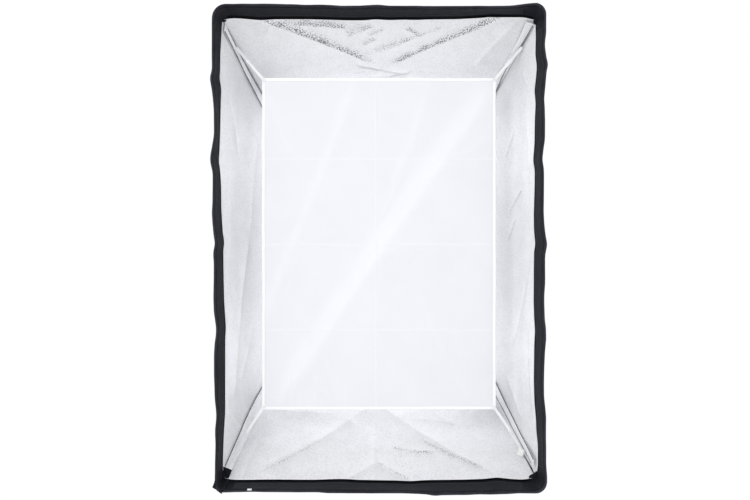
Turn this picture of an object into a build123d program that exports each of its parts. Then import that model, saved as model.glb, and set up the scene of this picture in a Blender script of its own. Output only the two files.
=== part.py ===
from build123d import *

import os
from math import pi, tan

# Rectangular 60 x 90 cm softbox on a rotating speed ring with a three-lug light bayonet.
# Units are millimetres. The origin is the centre of the bayonet's mounting face. The light head
# stands behind it, towards +Y, the box opens towards -Y, and +Z is up along the long side.
# Most pieces are drawn at the top, at the right or in the top right corner, and then mirrored.

# Front rim
FRONT_WIDTH = 620.0
FRONT_HEIGHT = 912.0
FRONT_Y = -380.0  # front edge of the rim
SEAM_Y = -340.0  # where shell and lining are sewn to the rim
RIM_EDGE = 2.8  # thickness of the rim at its front edge
LOOP_TAPE_WIDTH, LOOP_TAPE_THICKNESS, LOOP_TAPE_END_GAP = 30.0, 1.0, 12.0
POCKET_LEG_X, POCKET_LEG_Z, POCKET_DEPTH = 15.0, 19.0, 3.0

# Rod in the top right corner: straight out of its socket, then a parabola to the front corner
SOCKET_MOUTH = Vector(76, -28, 95)
ROD_KNEE = Vector(237, -94, 286)
ROD_END = Vector(301.1, -346, 441.1)
ROD_DIRECTION = (ROD_KNEE - SOCKET_MOUTH).normalized()
ROD_RADIUS = 2.25
ROD_IN_FERRULE = 8.0
ROD_STOP = 0.945  # share of the parabola at which the rod ends
TIP_RADIUS, TIP_LENGTH, TIP_NOSE = 4.5, 12.0, 4.0
FERRULE_RADIUS, FERRULE_INSIDE, FERRULE_OUTSIDE = 4.0, 24.0, 10.0
COLLAR_RADIUS, COLLAR_LENGTH = 5.5, 2.0

# Cloth layers, given as shifts of the rod line away from the box's centre in x, y and z alike
SLEEVE_START, SLEEVE_STOP = 0.16, 0.93
SLEEVE_OUTER, SLEEVE_INNER = 5.5, 3.2
SHELL_INNER, SHELL_OUTER = 4.6, 5.6
LINING_INNER, LINING_OUTER = -4.1, -3.2
LINING_SIDE_GAP = -6.5  # the lining stops short of the sleeve in the corner
REACH_X, REACH_Z = 420.0, 600.0  # half sizes of raw solids before they are trimmed

# Speed ring and its bayonet insert
RING_RADIUS, RING_FRONT, RING_BACK = 88.0, -30.0, -6.0
INSERT_RADIUS, INSERT_HUB_RADIUS, INSERT_BORE_RADIUS, INSERT_FRONT = 72.0, 64.0, 49.0, -18.0
SHOULDER_RADIUS = 67.0
RUNNING_GAP = 0.3  # end clearance of the insert's flange
RUNNING_FIT = 0.08  # radial clearance of what turns or slides in a bore
RETAINER_INNER, RETAINER_OUTER, RETAINER_BACK = 65.0, 86.0, -3.0
RETAINER_SCREWS, RETAINER_SCREW_CIRCLE, RETAINER_SCREW_TIP = 6, 79.0, -13.0
LUGS, LUG_ANGLE, LUG_LENGTH, LUG_HOOK_START = 3, 42.0, 12.0, 7.0
LUG_INNER, LUG_OUTER, LUG_HOOK = 52.0, 59.0, 63.5
EDGE_BREAK = 0.8

# Clamp screws, at the top and the bottom of the ring
CLAMP_Y = -12.0
CLAMP_SCREW_RADIUS, CLAMP_SCREW_TOP = 4.0, 107.0
PAD_LENGTH = 3.2
BOSS_RADIUS, BOSS_TOP = 8.0, 95.0
KNOB_RADIUS, KNOB_BOTTOM, KNOB_TOP, KNOB_FLUTES, FLUTE_RADIUS = 12.0, 98.5, 112.5, 6, 3.2

# Rod sockets and small screws
SOCKET_RADIUS, SOCKET_LENGTH = 7.0, 38.0
SOCKET_BORE_RADIUS, SOCKET_BORE_DEPTH = 4.2, 26.0
FOOT_WIDTH, FOOT_DEPTH, FOOT_TOP, FOOT_HEIGHT, FOOT_SCREW_X = 42.0, 12.0, 94.0, 12.0, 15.0
SCREW_RADIUS, SCREW_HEAD_RADIUS, SCREW_HEAD_HEIGHT = 2.0, 3.8, 2.4
SOCKET_SCREW_LENGTH = 16.0

# Rear closure: four flaps that open, and four triangular gussets between them
THROAT_RADIUS, THROAT_Y = 91.0, -8.0  # the octagon left open around the ring
CLOSURE_SETBACK = 6.6  # shift of the rod line to the corners of the rear opening
FLAP_THICKNESS, FLAP_LIFT, FLAP_OVERLAP, FLAP_HINGE_GAP, FLAP_CORNER_GAP = 1.6, 0.6, 9.0, 2.0, 8.0
GUSSET_THICKNESS = 1.2
NOTCH_WIDTH, NOTCH_TOP = 32.0, 121.0

# Inner diffuser
DIFFUSER_WIDTH, DIFFUSER_HEIGHT, DIFFUSER_Y, DIFFUSER_RAISE = 453.0, 640.0, -285.0, 11.0
DIFFUSER_THICKNESS = 0.8
BINDING_WIDTH, BINDING_THICKNESS, BINDING_GRIP = 6.0, 2.4, 4.0
SNAP_X, SNAP_Z_TOP, SNAP_Z_BOTTOM = 254.0, 363.0, 352.0
STRAP_WIDTH, STRAP_THICKNESS, STRAP_PAST_SNAP, STRAP_ON_BINDING = 7.0, 1.2, 6.0, 8.0
TAB_TIP_X, TAB_TIP_Z = 278.3, 395.0
TAB_WIDTH, TAB_TIP_WIDTH, TAB_BEFORE_SNAP, TAB_THICKNESS, TAB_GAP = 10.0, 2.0, 7.0, 1.0, 0.5
SNAP_RADIUS, CAP_HEIGHT, CAP_RECESS, STUD_HEIGHT = 3.8, 1.6, 0.8, 1.2
POST_RADIUS, POST_HOLE_RADIUS = 1.5, 1.8

# Blank labels
CARE_LABEL_SIZE, CARE_LABEL_AT = (14.0, 0.6, 13.0), (273.5, -296.0, -390.5)
RIM_LABEL_LENGTH, RIM_LABEL_WIDTH, RIM_LABEL_THICKNESS, RIM_LABEL_X = 8.0, 5.0, 0.5, -243.0

CORNERS = {"top_right": (1, 1), "top_left": (-1, 1), "bottom_right": (1, -1), "bottom_left": (-1, -1)}

INSIDE_X, INSIDE_Z = ROD_END.X + LINING_INNER, ROD_END.Z + LINING_INNER
OUTSIDE_X, OUTSIDE_Z = ROD_END.X + SHELL_OUTER, ROD_END.Z + SHELL_OUTER
FRONT_X, FRONT_Z = FRONT_WIDTH / 2, FRONT_HEIGHT / 2

os.makedirs("parts", exist_ok=True)


# ------------------------------------------------------------------ helpers


def save(shape, name):
    """Writes one piece as its own STEP file."""
    shape.label = name
    export_step(shape, f"parts/{name}.step")


def in_corner(shape, sign_x, sign_z):
    """A copy of a top right piece in the corner that the two signs name."""
    if sign_x < 0:
        shape = shape.mirror(Plane.YZ)
    if sign_z < 0:
        shape = shape.mirror(Plane.XY)
    return shape


def save_corners(shape, stem):
    """One node for each corner, from the piece in the top right corner."""
    for corner, signs in CORNERS.items():
        save(in_corner(shape, *signs), f"{stem}_{corner}")


def save_sides(top, right, stem):
    """One node for each side, from the top piece and the right piece."""
    save(top, f"{stem}_top")
    save(top.mirror(Plane.XY), f"{stem}_bottom")
    save(right, f"{stem}_right")
    save(right.mirror(Plane.YZ), f"{stem}_left")


def save_group(shapes, name):
    """Separate solids that share one node."""
    save(Compound(children=[solid for shape in shapes for solid in shape.solids()]), name)


def four_corners(shape):
    return [in_corner(shape, *signs) for signs in CORNERS.values()]


def disc(centre, direction, radius, length):
    """A plain cylinder that starts at a point and runs along a direction."""
    with BuildPart() as part:
        with BuildSketch(Plane(origin=centre, z_dir=direction)):
            Circle(radius)
        extrude(amount=length)
    return part.part


def screw(seat, inward, shank_length):
    """A pan head screw: its head stands on the seat and its shank goes inward."""
    with BuildPart() as part:
        add(disc(seat, inward, SCREW_RADIUS, shank_length))
        add(disc(seat, inward * -1, SCREW_HEAD_RADIUS, SCREW_HEAD_HEIGHT))
        fillet(part.faces().sort_by(Axis(seat, inward * -1))[-1].edges(), EDGE_BREAK)
    return part.part


# ------------------------------------------------------------------ the rod line


def rod_controls(start, stop):
    """The three control points of the parabola's stretch between two shares."""
    leg_start = SOCKET_MOUTH * (1 - start) + ROD_KNEE * start
    leg_end = ROD_KNEE * (1 - start) + ROD_END * start
    first = leg_start * (1 - start) + leg_end * start
    middle = leg_start * (1 - stop) + leg_end * stop
    knee = SOCKET_MOUTH * (1 - stop) + ROD_KNEE * stop
    last = knee * (1 - stop) + (ROD_KNEE * (1 - stop) + ROD_END * stop) * stop
    return first, middle, last


def profile(side, amount, start=0.0):
    """The rod line seen along the top or the right wall, shifted outward, as (y, z) or (y, x) points."""
    moved = [p + Vector(amount, amount, amount) for p in rod_controls(start, 1)]
    return [(p.Y, p.Z if side == "top" else p.X) for p in moved]


def section_plane(side):
    """The plane whose own axes are y and z for the top wall, or y and x for the right wall."""
    return Plane.YZ if side == "top" else Plane.YX


def reach(side):
    return REACH_X if side == "top" else REACH_Z


# ------------------------------------------------------------------ cloth walls


def inside_walls(side, amount):
    """Everything between the top and bottom walls, or between the side walls, at one shift."""
    outer = profile(side, amount)
    with BuildPart() as part:
        with BuildSketch(section_plane(side)):
            with BuildLine():
                wall = Bezier(*outer)
                opposite = Bezier(*[(y, -across) for y, across in outer])
                Line(wall @ 0, opposite @ 0)
                Line(wall @ 1, opposite @ 1)
            make_face()
        extrude(amount=reach(side), both=True)
    return part.part


def wall(side, inner, outer, limit_side, limit):
    """One cloth layer between two shifts, trimmed at the corners and cut off at the seam."""
    trim = inside_walls(limit_side, limit)
    with BuildPart() as part:
        with BuildSketch(section_plane(side)):
            with BuildLine():
                inside = Bezier(*profile(side, inner, SLEEVE_START))
                outside = Bezier(*profile(side, outer, SLEEVE_START))
                Line(inside @ 0, outside @ 0)
                Line(inside @ 1, outside @ 1)
            make_face()
        extrude(amount=reach(side), both=True)
        add(trim, mode=Mode.INTERSECT)
        split(bisect_by=Plane.XZ.offset(-SEAM_Y), keep=Keep.BOTTOM)
    return part.part


def make_walls():
    """The side walls of the shell run past the ends of the top and bottom walls."""
    save_sides(wall("top", SHELL_INNER, SHELL_OUTER, "right", SHELL_INNER),
               wall("right", SHELL_INNER, SHELL_OUTER, "top", SHELL_OUTER), "shell")
    save_sides(wall("top", LINING_INNER, LINING_OUTER, "right", LINING_SIDE_GAP),
               wall("right", LINING_INNER, LINING_OUTER, "top", LINING_SIDE_GAP), "lining")


# ------------------------------------------------------------------ front rim


def mitre_plane():
    """Parts the rim's top side, below the plane, from its right side, above it."""
    across = Vector(1, 0, 1)
    along = Vector(FRONT_X - RIM_EDGE - INSIDE_X, FRONT_Y - SEAM_Y, FRONT_Z - RIM_EDGE - INSIDE_Z)
    return Plane(origin=(INSIDE_X, SEAM_Y, INSIDE_Z), x_dir=across, z_dir=across.cross(along))


def rim_side(side, keep):
    """One side of the rim: a wedge of cloth, thick at the seam and thin at the front edge."""
    top_sizes, right_sizes = (INSIDE_Z, OUTSIDE_Z, FRONT_Z), (INSIDE_X, OUTSIDE_X, FRONT_X)
    inside, outside, front = top_sizes if side == "top" else right_sizes
    cut = mitre_plane()
    mirror_plane = Plane.YZ if side == "top" else Plane.XY
    with BuildPart() as part:
        with BuildSketch(section_plane(side)):
            with BuildLine():
                Polyline((SEAM_Y, inside), (SEAM_Y, outside), (FRONT_Y, front),
                         (FRONT_Y, front - RIM_EDGE), close=True)
            make_face()
        extrude(amount=reach(side) * (1 if side == "top" else -1))
        split(bisect_by=cut, keep=keep)
        mirror(about=mirror_plane)
    return part.part


def rim_strip(side, start, width, thickness, centre, half_length):
    """A strip on the inner face of the rim, from a distance past the seam towards the front edge."""
    inside, front = (INSIDE_Z, FRONT_Z) if side == "top" else (INSIDE_X, FRONT_X)
    along = (Vector(FRONT_Y, front - RIM_EDGE) - Vector(SEAM_Y, inside)).normalized()
    lift = Vector(along.Y, -along.X) * -thickness
    near = Vector(SEAM_Y, inside) + along * start
    far = near + along * width
    with BuildPart() as part:
        with BuildSketch(section_plane(side).offset(centre)):
            with BuildLine():
                Polyline(*[(p.X, p.Y) for p in (near, far, far + lift, near + lift)], close=True)
            make_face()
        extrude(amount=half_length, both=True)
    return part.part


def rim_face_width(side):
    inside, front = (INSIDE_Z, FRONT_Z) if side == "top" else (INSIDE_X, FRONT_X)
    return (Vector(FRONT_Y, front - RIM_EDGE) - Vector(SEAM_Y, inside)).length


def loop_tape(side):
    half_length = (INSIDE_X if side == "top" else INSIDE_Z) - LOOP_TAPE_END_GAP
    start = (rim_face_width(side) - LOOP_TAPE_WIDTH) / 2
    return rim_strip(side, start, LOOP_TAPE_WIDTH, LOOP_TAPE_THICKNESS, 0, half_length)


def corner_pocket():
    """The small patch across the inner corner of the rim, which covers the rod's tip."""
    with BuildPart() as part:
        with BuildSketch(Plane.XZ.offset(-SEAM_Y)):
            with BuildLine():
                Polyline((INSIDE_X, INSIDE_Z), (INSIDE_X - POCKET_LEG_X, INSIDE_Z),
                         (INSIDE_X, INSIDE_Z - POCKET_LEG_Z), close=True)
            make_face()
        extrude(amount=POCKET_DEPTH)
    return part.part


def make_rim():
    save_sides(rim_side("top", Keep.BOTTOM), rim_side("right", Keep.TOP), "rim")
    save_sides(loop_tape("top"), loop_tape("right"), "loop_tape")
    save_group(four_corners(corner_pocket()), "corner_pockets")
    label_start = rim_face_width("top") - RIM_LABEL_WIDTH - EDGE_BREAK
    label = rim_strip("top", label_start, RIM_LABEL_WIDTH, RIM_LABEL_THICKNESS, RIM_LABEL_X,
                      RIM_LABEL_LENGTH / 2)
    save(label.mirror(Plane.XY), "rim_label")


# ------------------------------------------------------------------ rods


def make_rods():
    start = SOCKET_MOUTH - ROD_DIRECTION * ROD_IN_FERRULE
    controls = rod_controls(0, ROD_STOP)
    with BuildPart() as rod:
        with BuildLine():
            Line(start, SOCKET_MOUTH)
            Bezier(*controls)
        with BuildSketch(Plane(origin=start, z_dir=ROD_DIRECTION)):
            Circle(ROD_RADIUS)
        sweep()
    save_corners(rod.part, "rod")

    ferrule_start = SOCKET_MOUTH - ROD_DIRECTION * FERRULE_INSIDE
    with BuildPart() as ferrule:
        add(disc(ferrule_start, ROD_DIRECTION, FERRULE_RADIUS, FERRULE_INSIDE + FERRULE_OUTSIDE))
        add(disc(SOCKET_MOUTH, ROD_DIRECTION, COLLAR_RADIUS, COLLAR_LENGTH))
        add(rod.part, mode=Mode.SUBTRACT)
    save_group(four_corners(ferrule.part), "rod_ferrules")

    rod_end = controls[2]
    end_direction = (controls[2] - controls[1]).normalized()
    with BuildPart() as tip:
        add(disc(rod_end + end_direction * TIP_NOSE, end_direction * -1, TIP_RADIUS, TIP_LENGTH))
        fillet(tip.faces().sort_by(Axis(rod_end, end_direction))[-1].edges(), TIP_RADIUS / 2)
        add(rod.part, mode=Mode.SUBTRACT)
    save_group(four_corners(tip.part), "rod_tips")

    sleeve_controls = rod_controls(SLEEVE_START, SLEEVE_STOP)
    with BuildPart() as sleeve:
        with BuildLine():
            Bezier(*sleeve_controls)
        sleeve_direction = sleeve_controls[1] - sleeve_controls[0]
        with BuildSketch(Plane(origin=sleeve_controls[0], z_dir=sleeve_direction)):
            Circle(SLEEVE_OUTER)
            Circle(SLEEVE_INNER, mode=Mode.SUBTRACT)
        sweep()
    save_corners(sleeve.part, "rod_sleeve")


# ------------------------------------------------------------------ speed ring


def foot_plane():
    """The flat top of a socket's foot, facing the ring's axis, with its own x along the ring."""
    base = SOCKET_MOUTH - ROD_DIRECTION * SOCKET_LENGTH
    outward = Vector(base.X, 0, base.Z).normalized()
    return Plane(origin=Vector(0, base.Y, 0) + outward * FOOT_TOP, x_dir=outward.cross(Vector(0, 1, 0)),
                 z_dir=outward * -1)


def socket_screws():
    """The two screws that hold the top right socket to the ring."""
    plane = foot_plane()
    seats = [plane.from_local_coords(Vector(x, 0, 0)) for x in (-FOOT_SCREW_X, FOOT_SCREW_X)]
    return [screw(seat, plane.z_dir, SOCKET_SCREW_LENGTH) for seat in seats]


def rod_socket(screws):
    with BuildPart() as part:
        add(disc(SOCKET_MOUTH, ROD_DIRECTION * -1, SOCKET_RADIUS, SOCKET_LENGTH))
        with BuildSketch(foot_plane()):
            RectangleRounded(FOOT_WIDTH, FOOT_DEPTH, FOOT_DEPTH / 4)
        extrude(amount=FOOT_HEIGHT)
        add(disc(Vector(0, RING_FRONT, 0), Vector(0, 1, 0), RING_RADIUS, RING_BACK - RING_FRONT),
            mode=Mode.SUBTRACT)
        add(disc(SOCKET_MOUTH, ROD_DIRECTION * -1, SOCKET_BORE_RADIUS, SOCKET_BORE_DEPTH),
            mode=Mode.SUBTRACT)
        for one in screws:
            add(one, mode=Mode.SUBTRACT)
    return part.part


def retainer_screws():
    """Screws parallel to the ring's axis that hold the retaining ring."""
    seat = Vector(RETAINER_SCREW_CIRCLE, RETAINER_BACK, 0)
    first = screw(seat, Vector(0, -1, 0), RETAINER_BACK - RETAINER_SCREW_TIP)
    return [first.rotate(Axis.Y, 360 / RETAINER_SCREWS * n) for n in range(RETAINER_SCREWS)]


def bayonet_lug():
    """One hooked lug, which starts on +X."""
    with BuildPart() as part:
        with BuildSketch(Plane.XY):
            with BuildLine():
                Polyline((LUG_INNER, 0), (LUG_OUTER, 0), (LUG_OUTER, LUG_HOOK_START),
                         (LUG_HOOK, LUG_HOOK_START), (LUG_HOOK, LUG_LENGTH), (LUG_INNER, LUG_LENGTH),
                         close=True)
            make_face()
        revolve(axis=Axis.Y, revolution_arc=LUG_ANGLE)
    return part.part


def bayonet_insert():
    """The ring that locks into the light: a flange held in the speed ring, and three hooked lugs."""
    lug = bayonet_lug()
    flange_back = RING_BACK - RUNNING_GAP
    with BuildPart() as part:
        with BuildSketch(Plane.XY):
            with BuildLine():
                Polyline((INSERT_BORE_RADIUS, INSERT_FRONT), (INSERT_RADIUS, INSERT_FRONT),
                         (INSERT_RADIUS, flange_back), (INSERT_HUB_RADIUS, flange_back),
                         (INSERT_HUB_RADIUS, 0), (INSERT_BORE_RADIUS, 0), close=True)
            make_face()
        revolve(axis=Axis.Y)
        for n in range(LUGS):
            add(lug.rotate(Axis.Y, 360 / LUGS * n))
    return part.part


def speed_ring(screws):
    pocket_front = INSERT_FRONT - RUNNING_GAP
    pocket_radius = INSERT_RADIUS + RUNNING_FIT
    with BuildPart() as part:
        with BuildSketch(Plane.XY):
            with BuildLine():
                Polyline((SHOULDER_RADIUS, RING_FRONT), (RING_RADIUS, RING_FRONT), (RING_RADIUS, RING_BACK),
                         (pocket_radius, RING_BACK), (pocket_radius, pocket_front),
                         (SHOULDER_RADIUS, pocket_front), close=True)
            make_face()
        revolve(axis=Axis.Y)
        for up in (Vector(0, 0, 1), Vector(0, 0, -1)):
            seat = Vector(0, CLAMP_Y, 0)
            boss_bottom = RETAINER_OUTER + RUNNING_GAP
            add(disc(seat + up * boss_bottom, up, BOSS_RADIUS, BOSS_TOP - boss_bottom))
            add(disc(seat + up * SHOULDER_RADIUS, up, CLAMP_SCREW_RADIUS + RUNNING_FIT,
                     BOSS_TOP - SHOULDER_RADIUS), mode=Mode.SUBTRACT)
        for one in screws:
            add(one, mode=Mode.SUBTRACT)
    return part.part


def retaining_ring(screws):
    with BuildPart() as part:
        with BuildSketch(Plane.XZ.offset(-RING_BACK)):
            Circle(RETAINER_OUTER)
            Circle(RETAINER_INNER, mode=Mode.SUBTRACT)
        extrude(amount=RING_BACK - RETAINER_BACK)
        for one in screws:
            add(one, mode=Mode.SUBTRACT)
    return part.part


def make_clamps():
    """A pad that bears on the insert, the screw that presses it, and the screw's knob."""
    up = Vector(0, 0, 1)
    pad_bottom = INSERT_RADIUS + RUNNING_GAP
    pad = disc(Vector(0, CLAMP_Y, pad_bottom), up, CLAMP_SCREW_RADIUS, PAD_LENGTH)
    screw_bottom = pad_bottom + PAD_LENGTH + RUNNING_GAP
    shaft = disc(Vector(0, CLAMP_Y, screw_bottom), up, CLAMP_SCREW_RADIUS, CLAMP_SCREW_TOP - screw_bottom)
    with BuildPart() as knob:
        with BuildSketch(Plane(origin=(0, CLAMP_Y, KNOB_BOTTOM))):
            Circle(KNOB_RADIUS)
            with PolarLocations(KNOB_RADIUS + FLUTE_RADIUS / 2, KNOB_FLUTES):
                Circle(FLUTE_RADIUS, mode=Mode.SUBTRACT)
        extrude(amount=KNOB_TOP - KNOB_BOTTOM)
        chamfer(knob.faces().sort_by(Axis.Z)[-1].edges(), EDGE_BREAK)
        add(shaft, mode=Mode.SUBTRACT)
    for piece, name in ((pad, "clamp_pad"), (shaft, "clamp_screw"), (knob.part, "clamp_knob")):
        save(piece, f"{name}_top")
        save(piece.mirror(Plane.XY), f"{name}_bottom")


def make_ring():
    own_screws = socket_screws()
    all_socket_screws = [copy for one in own_screws for copy in four_corners(one)]
    cover_screws = retainer_screws()
    save(bayonet_insert(), "bayonet_insert")
    save(speed_ring(all_socket_screws + cover_screws), "speed_ring")
    save(retaining_ring(cover_screws), "retaining_ring")
    save_group(cover_screws, "retaining_screws")
    save_corners(rod_socket(own_screws), "rod_socket")
    save_group(all_socket_screws, "socket_screws")
    make_clamps()


# ------------------------------------------------------------------ rear closure


def rear_corner():
    """The top right corner of the opening between the rear edges of the shell."""
    return rod_controls(SLEEVE_START, 1)[0] + Vector(CLOSURE_SETBACK, CLOSURE_SETBACK, CLOSURE_SETBACK)


def throat_half():
    """Half of one side of the octagon around the ring."""
    return THROAT_RADIUS * tan(pi / 8)


def flap(side):
    """A flat trapezoid from the rear edge of the shell to the ring, on the outside of the gussets."""
    corner = rear_corner()
    out_edge, half_edge = (corner.Z, corner.X) if side == "top" else (corner.X, corner.Z)
    plane = section_plane(side)
    hinge = plane.from_local_coords(Vector(corner.Y, out_edge, 0))
    throat = plane.from_local_coords(Vector(THROAT_Y, THROAT_RADIUS, 0))
    across = Vector(1, 0, 0) if side == "top" else Vector(0, 0, -1)
    down = (throat - hinge).normalized()
    length = (throat - hinge).length
    outer_half, inner_half = half_edge - FLAP_CORNER_GAP, throat_half() + FLAP_OVERLAP
    with BuildPart() as part:
        with BuildSketch(Plane(origin=hinge, x_dir=across, z_dir=across.cross(down)).offset(FLAP_LIFT)):
            with BuildLine():
                Polyline((-outer_half, FLAP_HINGE_GAP), (outer_half, FLAP_HINGE_GAP), (inner_half, length),
                         (-inner_half, length), close=True)
            make_face()
            if side == "top":
                notch = length * (NOTCH_TOP - THROAT_RADIUS) / (corner.Z - THROAT_RADIUS)
                with Locations((0, length)):
                    SlotCenterToCenter(2 * notch - NOTCH_WIDTH, NOTCH_WIDTH, rotation=90, mode=Mode.SUBTRACT)
        extrude(amount=FLAP_THICKNESS)
    return part.part


def gusset():
    """The fixed triangle of cloth over a rod socket, between two flaps."""
    corner, half = rear_corner(), throat_half()
    left, right = Vector(half, THROAT_Y, THROAT_RADIUS), Vector(THROAT_RADIUS, THROAT_Y, half)
    plane = Plane(origin=corner, x_dir=left - corner, z_dir=(left - corner).cross(right - corner))
    with BuildPart() as part:
        with BuildSketch(plane):
            with BuildLine():
                Polyline(*[tuple(plane.to_local_coords(p))[:2] for p in (corner, left, right)], close=True)
            make_face()
        extrude(amount=GUSSET_THICKNESS if plane.z_dir.Y < 0 else -GUSSET_THICKNESS)
    return part.part


def make_rear():
    save_sides(flap("top"), flap("right"), "rear_flap")
    save_group(four_corners(gusset()), "rear_gussets")


# ------------------------------------------------------------------ inner diffuser


def flat_piece(points, front, thickness):
    """A flat piece of cloth that faces the front: its outline as (x, z) points, and its front face's y."""
    with BuildPart() as part:
        with BuildSketch(Plane.XZ.offset(-front)):
            with BuildLine():
                Polyline(*points, close=True)
            make_face()
        extrude(amount=-thickness)
    return part.part


def band(start, end, start_width, end_width, front, thickness):
    """A straight band between two points that hold x and z, with its own width at each end."""
    along = (end - start).normalized()
    side = Vector(-along.Y, along.X)
    corners = [start + side * (start_width / 2), end + side * (end_width / 2),
               end - side * (end_width / 2), start - side * (start_width / 2)]
    return flat_piece([(p.X, p.Y) for p in corners], front, thickness)


def panel_and_binding():
    slot_width = DIFFUSER_WIDTH - 2 * (BINDING_WIDTH - BINDING_GRIP)
    slot_height = DIFFUSER_HEIGHT - 2 * (BINDING_WIDTH - BINDING_GRIP)
    with BuildPart() as panel:
        with BuildSketch(Plane.XZ.offset(-DIFFUSER_Y)):
            with Locations((0, DIFFUSER_RAISE)):
                Rectangle(slot_width, slot_height)
        extrude(amount=DIFFUSER_THICKNESS / 2, both=True)
    with BuildPart() as binding:
        with BuildSketch(Plane.XZ.offset(-DIFFUSER_Y)):
            with Locations((0, DIFFUSER_RAISE)):
                Rectangle(DIFFUSER_WIDTH, DIFFUSER_HEIGHT)
                Rectangle(DIFFUSER_WIDTH - 2 * BINDING_WIDTH, DIFFUSER_HEIGHT - 2 * BINDING_WIDTH,
                          mode=Mode.SUBTRACT)
        extrude(amount=BINDING_THICKNESS / 2, both=True)
        add(panel.part, mode=Mode.SUBTRACT)
    save(panel.part, "diffuser_panel")
    save(binding.part, "diffuser_binding")


def strap(snap, front):
    """The elastic strap from a corner of the panel to its snap, drawn in the top right."""
    raised = DIFFUSER_RAISE if snap.Y == SNAP_Z_TOP else -DIFFUSER_RAISE
    corner = Vector(DIFFUSER_WIDTH / 2, DIFFUSER_HEIGHT / 2 + raised)
    along = (snap - corner).normalized()
    start, end = corner - along * STRAP_ON_BINDING, snap + along * STRAP_PAST_SNAP
    with BuildPart() as part:
        add(band(start, end, STRAP_WIDTH, STRAP_WIDTH, front, STRAP_THICKNESS))
        add(disc((snap.X, front, snap.Y), Vector(0, 1, 0), POST_HOLE_RADIUS, STRAP_THICKNESS),
            mode=Mode.SUBTRACT)
    return part.part


def snap_cap(snap, back):
    centre = Vector(snap.X, back, snap.Y)
    with BuildPart() as part:
        add(disc(centre, Vector(0, -1, 0), SNAP_RADIUS, CAP_HEIGHT))
        fillet(part.faces().sort_by(Axis.Y)[0].edges(), EDGE_BREAK)
        add(disc(centre, Vector(0, -1, 0), POST_HOLE_RADIUS, CAP_RECESS), mode=Mode.SUBTRACT)
    return part.part


def snap_stud(snap, front, post_length):
    """The fixed half of a snap: a disc behind the tab and a post that reaches into the cap."""
    centre = Vector(snap.X, front, snap.Y)
    with BuildPart() as part:
        add(disc(centre, Vector(0, 1, 0), SNAP_RADIUS, STUD_HEIGHT))
        add(disc(centre, Vector(0, -1, 0), POST_RADIUS, post_length))
    return part.part


def strap_tab(snap, front, stud):
    """The tab that carries the stud, sewn into the corner of the lining at its far end."""
    tip = Vector(TAB_TIP_X, TAB_TIP_Z)
    start = snap - (tip - snap).normalized() * TAB_BEFORE_SNAP
    with BuildPart() as part:
        add(band(start, tip, TAB_WIDTH, TAB_TIP_WIDTH, front, TAB_THICKNESS))
        add(stud, mode=Mode.SUBTRACT)
    return part.part


def make_diffuser():
    """The panel hangs on four elastic straps, each snapped to a tab in a corner of the lining."""
    panel_and_binding()
    strap_back = DIFFUSER_Y - BINDING_THICKNESS / 2
    strap_front = strap_back - STRAP_THICKNESS
    tab_front = strap_back + TAB_GAP
    tab_back = tab_front + TAB_THICKNESS
    post_length = tab_back - strap_front + CAP_RECESS - RUNNING_GAP
    caps, studs, tabs = [], [], []
    for name, signs in CORNERS.items():
        snap = Vector(SNAP_X, SNAP_Z_TOP if signs[1] > 0 else SNAP_Z_BOTTOM)
        stud = snap_stud(snap, tab_back, post_length)
        save(in_corner(strap(snap, strap_front), *signs), f"diffuser_strap_{name}")
        caps.append(in_corner(snap_cap(snap, strap_front), *signs))
        studs.append(in_corner(stud, *signs))
        tabs.append(in_corner(strap_tab(snap, tab_front, stud), *signs))
    save_group(caps, "snap_caps")
    save_group(studs, "snap_studs")
    save_group(tabs, "strap_tabs")


def make_care_label():
    with BuildPart() as label:
        with Locations(CARE_LABEL_AT):
            Box(*CARE_LABEL_SIZE)
    save(label.part, "care_label")


make_walls()
make_rim()
make_rods()
make_ring()
make_rear()
make_diffuser()
make_care_label()
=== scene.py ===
import math

import bmesh
import bpy
import numpy as np
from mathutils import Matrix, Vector

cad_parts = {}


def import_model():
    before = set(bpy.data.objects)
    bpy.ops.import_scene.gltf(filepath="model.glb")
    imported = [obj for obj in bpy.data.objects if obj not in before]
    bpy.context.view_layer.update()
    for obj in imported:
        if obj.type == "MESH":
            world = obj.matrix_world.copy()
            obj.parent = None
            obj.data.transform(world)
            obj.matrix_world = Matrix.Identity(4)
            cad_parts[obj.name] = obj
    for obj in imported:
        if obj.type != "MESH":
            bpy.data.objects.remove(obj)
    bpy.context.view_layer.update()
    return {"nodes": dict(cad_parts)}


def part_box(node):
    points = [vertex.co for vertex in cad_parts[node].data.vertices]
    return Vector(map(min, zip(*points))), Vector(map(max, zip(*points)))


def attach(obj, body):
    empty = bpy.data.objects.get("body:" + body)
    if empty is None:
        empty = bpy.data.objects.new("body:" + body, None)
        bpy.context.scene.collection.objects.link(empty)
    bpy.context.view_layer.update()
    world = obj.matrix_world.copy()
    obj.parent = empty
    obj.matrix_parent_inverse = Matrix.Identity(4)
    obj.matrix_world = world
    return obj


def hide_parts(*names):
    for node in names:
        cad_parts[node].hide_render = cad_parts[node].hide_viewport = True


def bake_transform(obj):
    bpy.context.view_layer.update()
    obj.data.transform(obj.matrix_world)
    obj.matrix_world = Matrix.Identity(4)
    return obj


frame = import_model()
NODES = frame["nodes"]
MM = 0.001

# ---------------------------------------------------------------- the frame's leading dimensions

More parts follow.
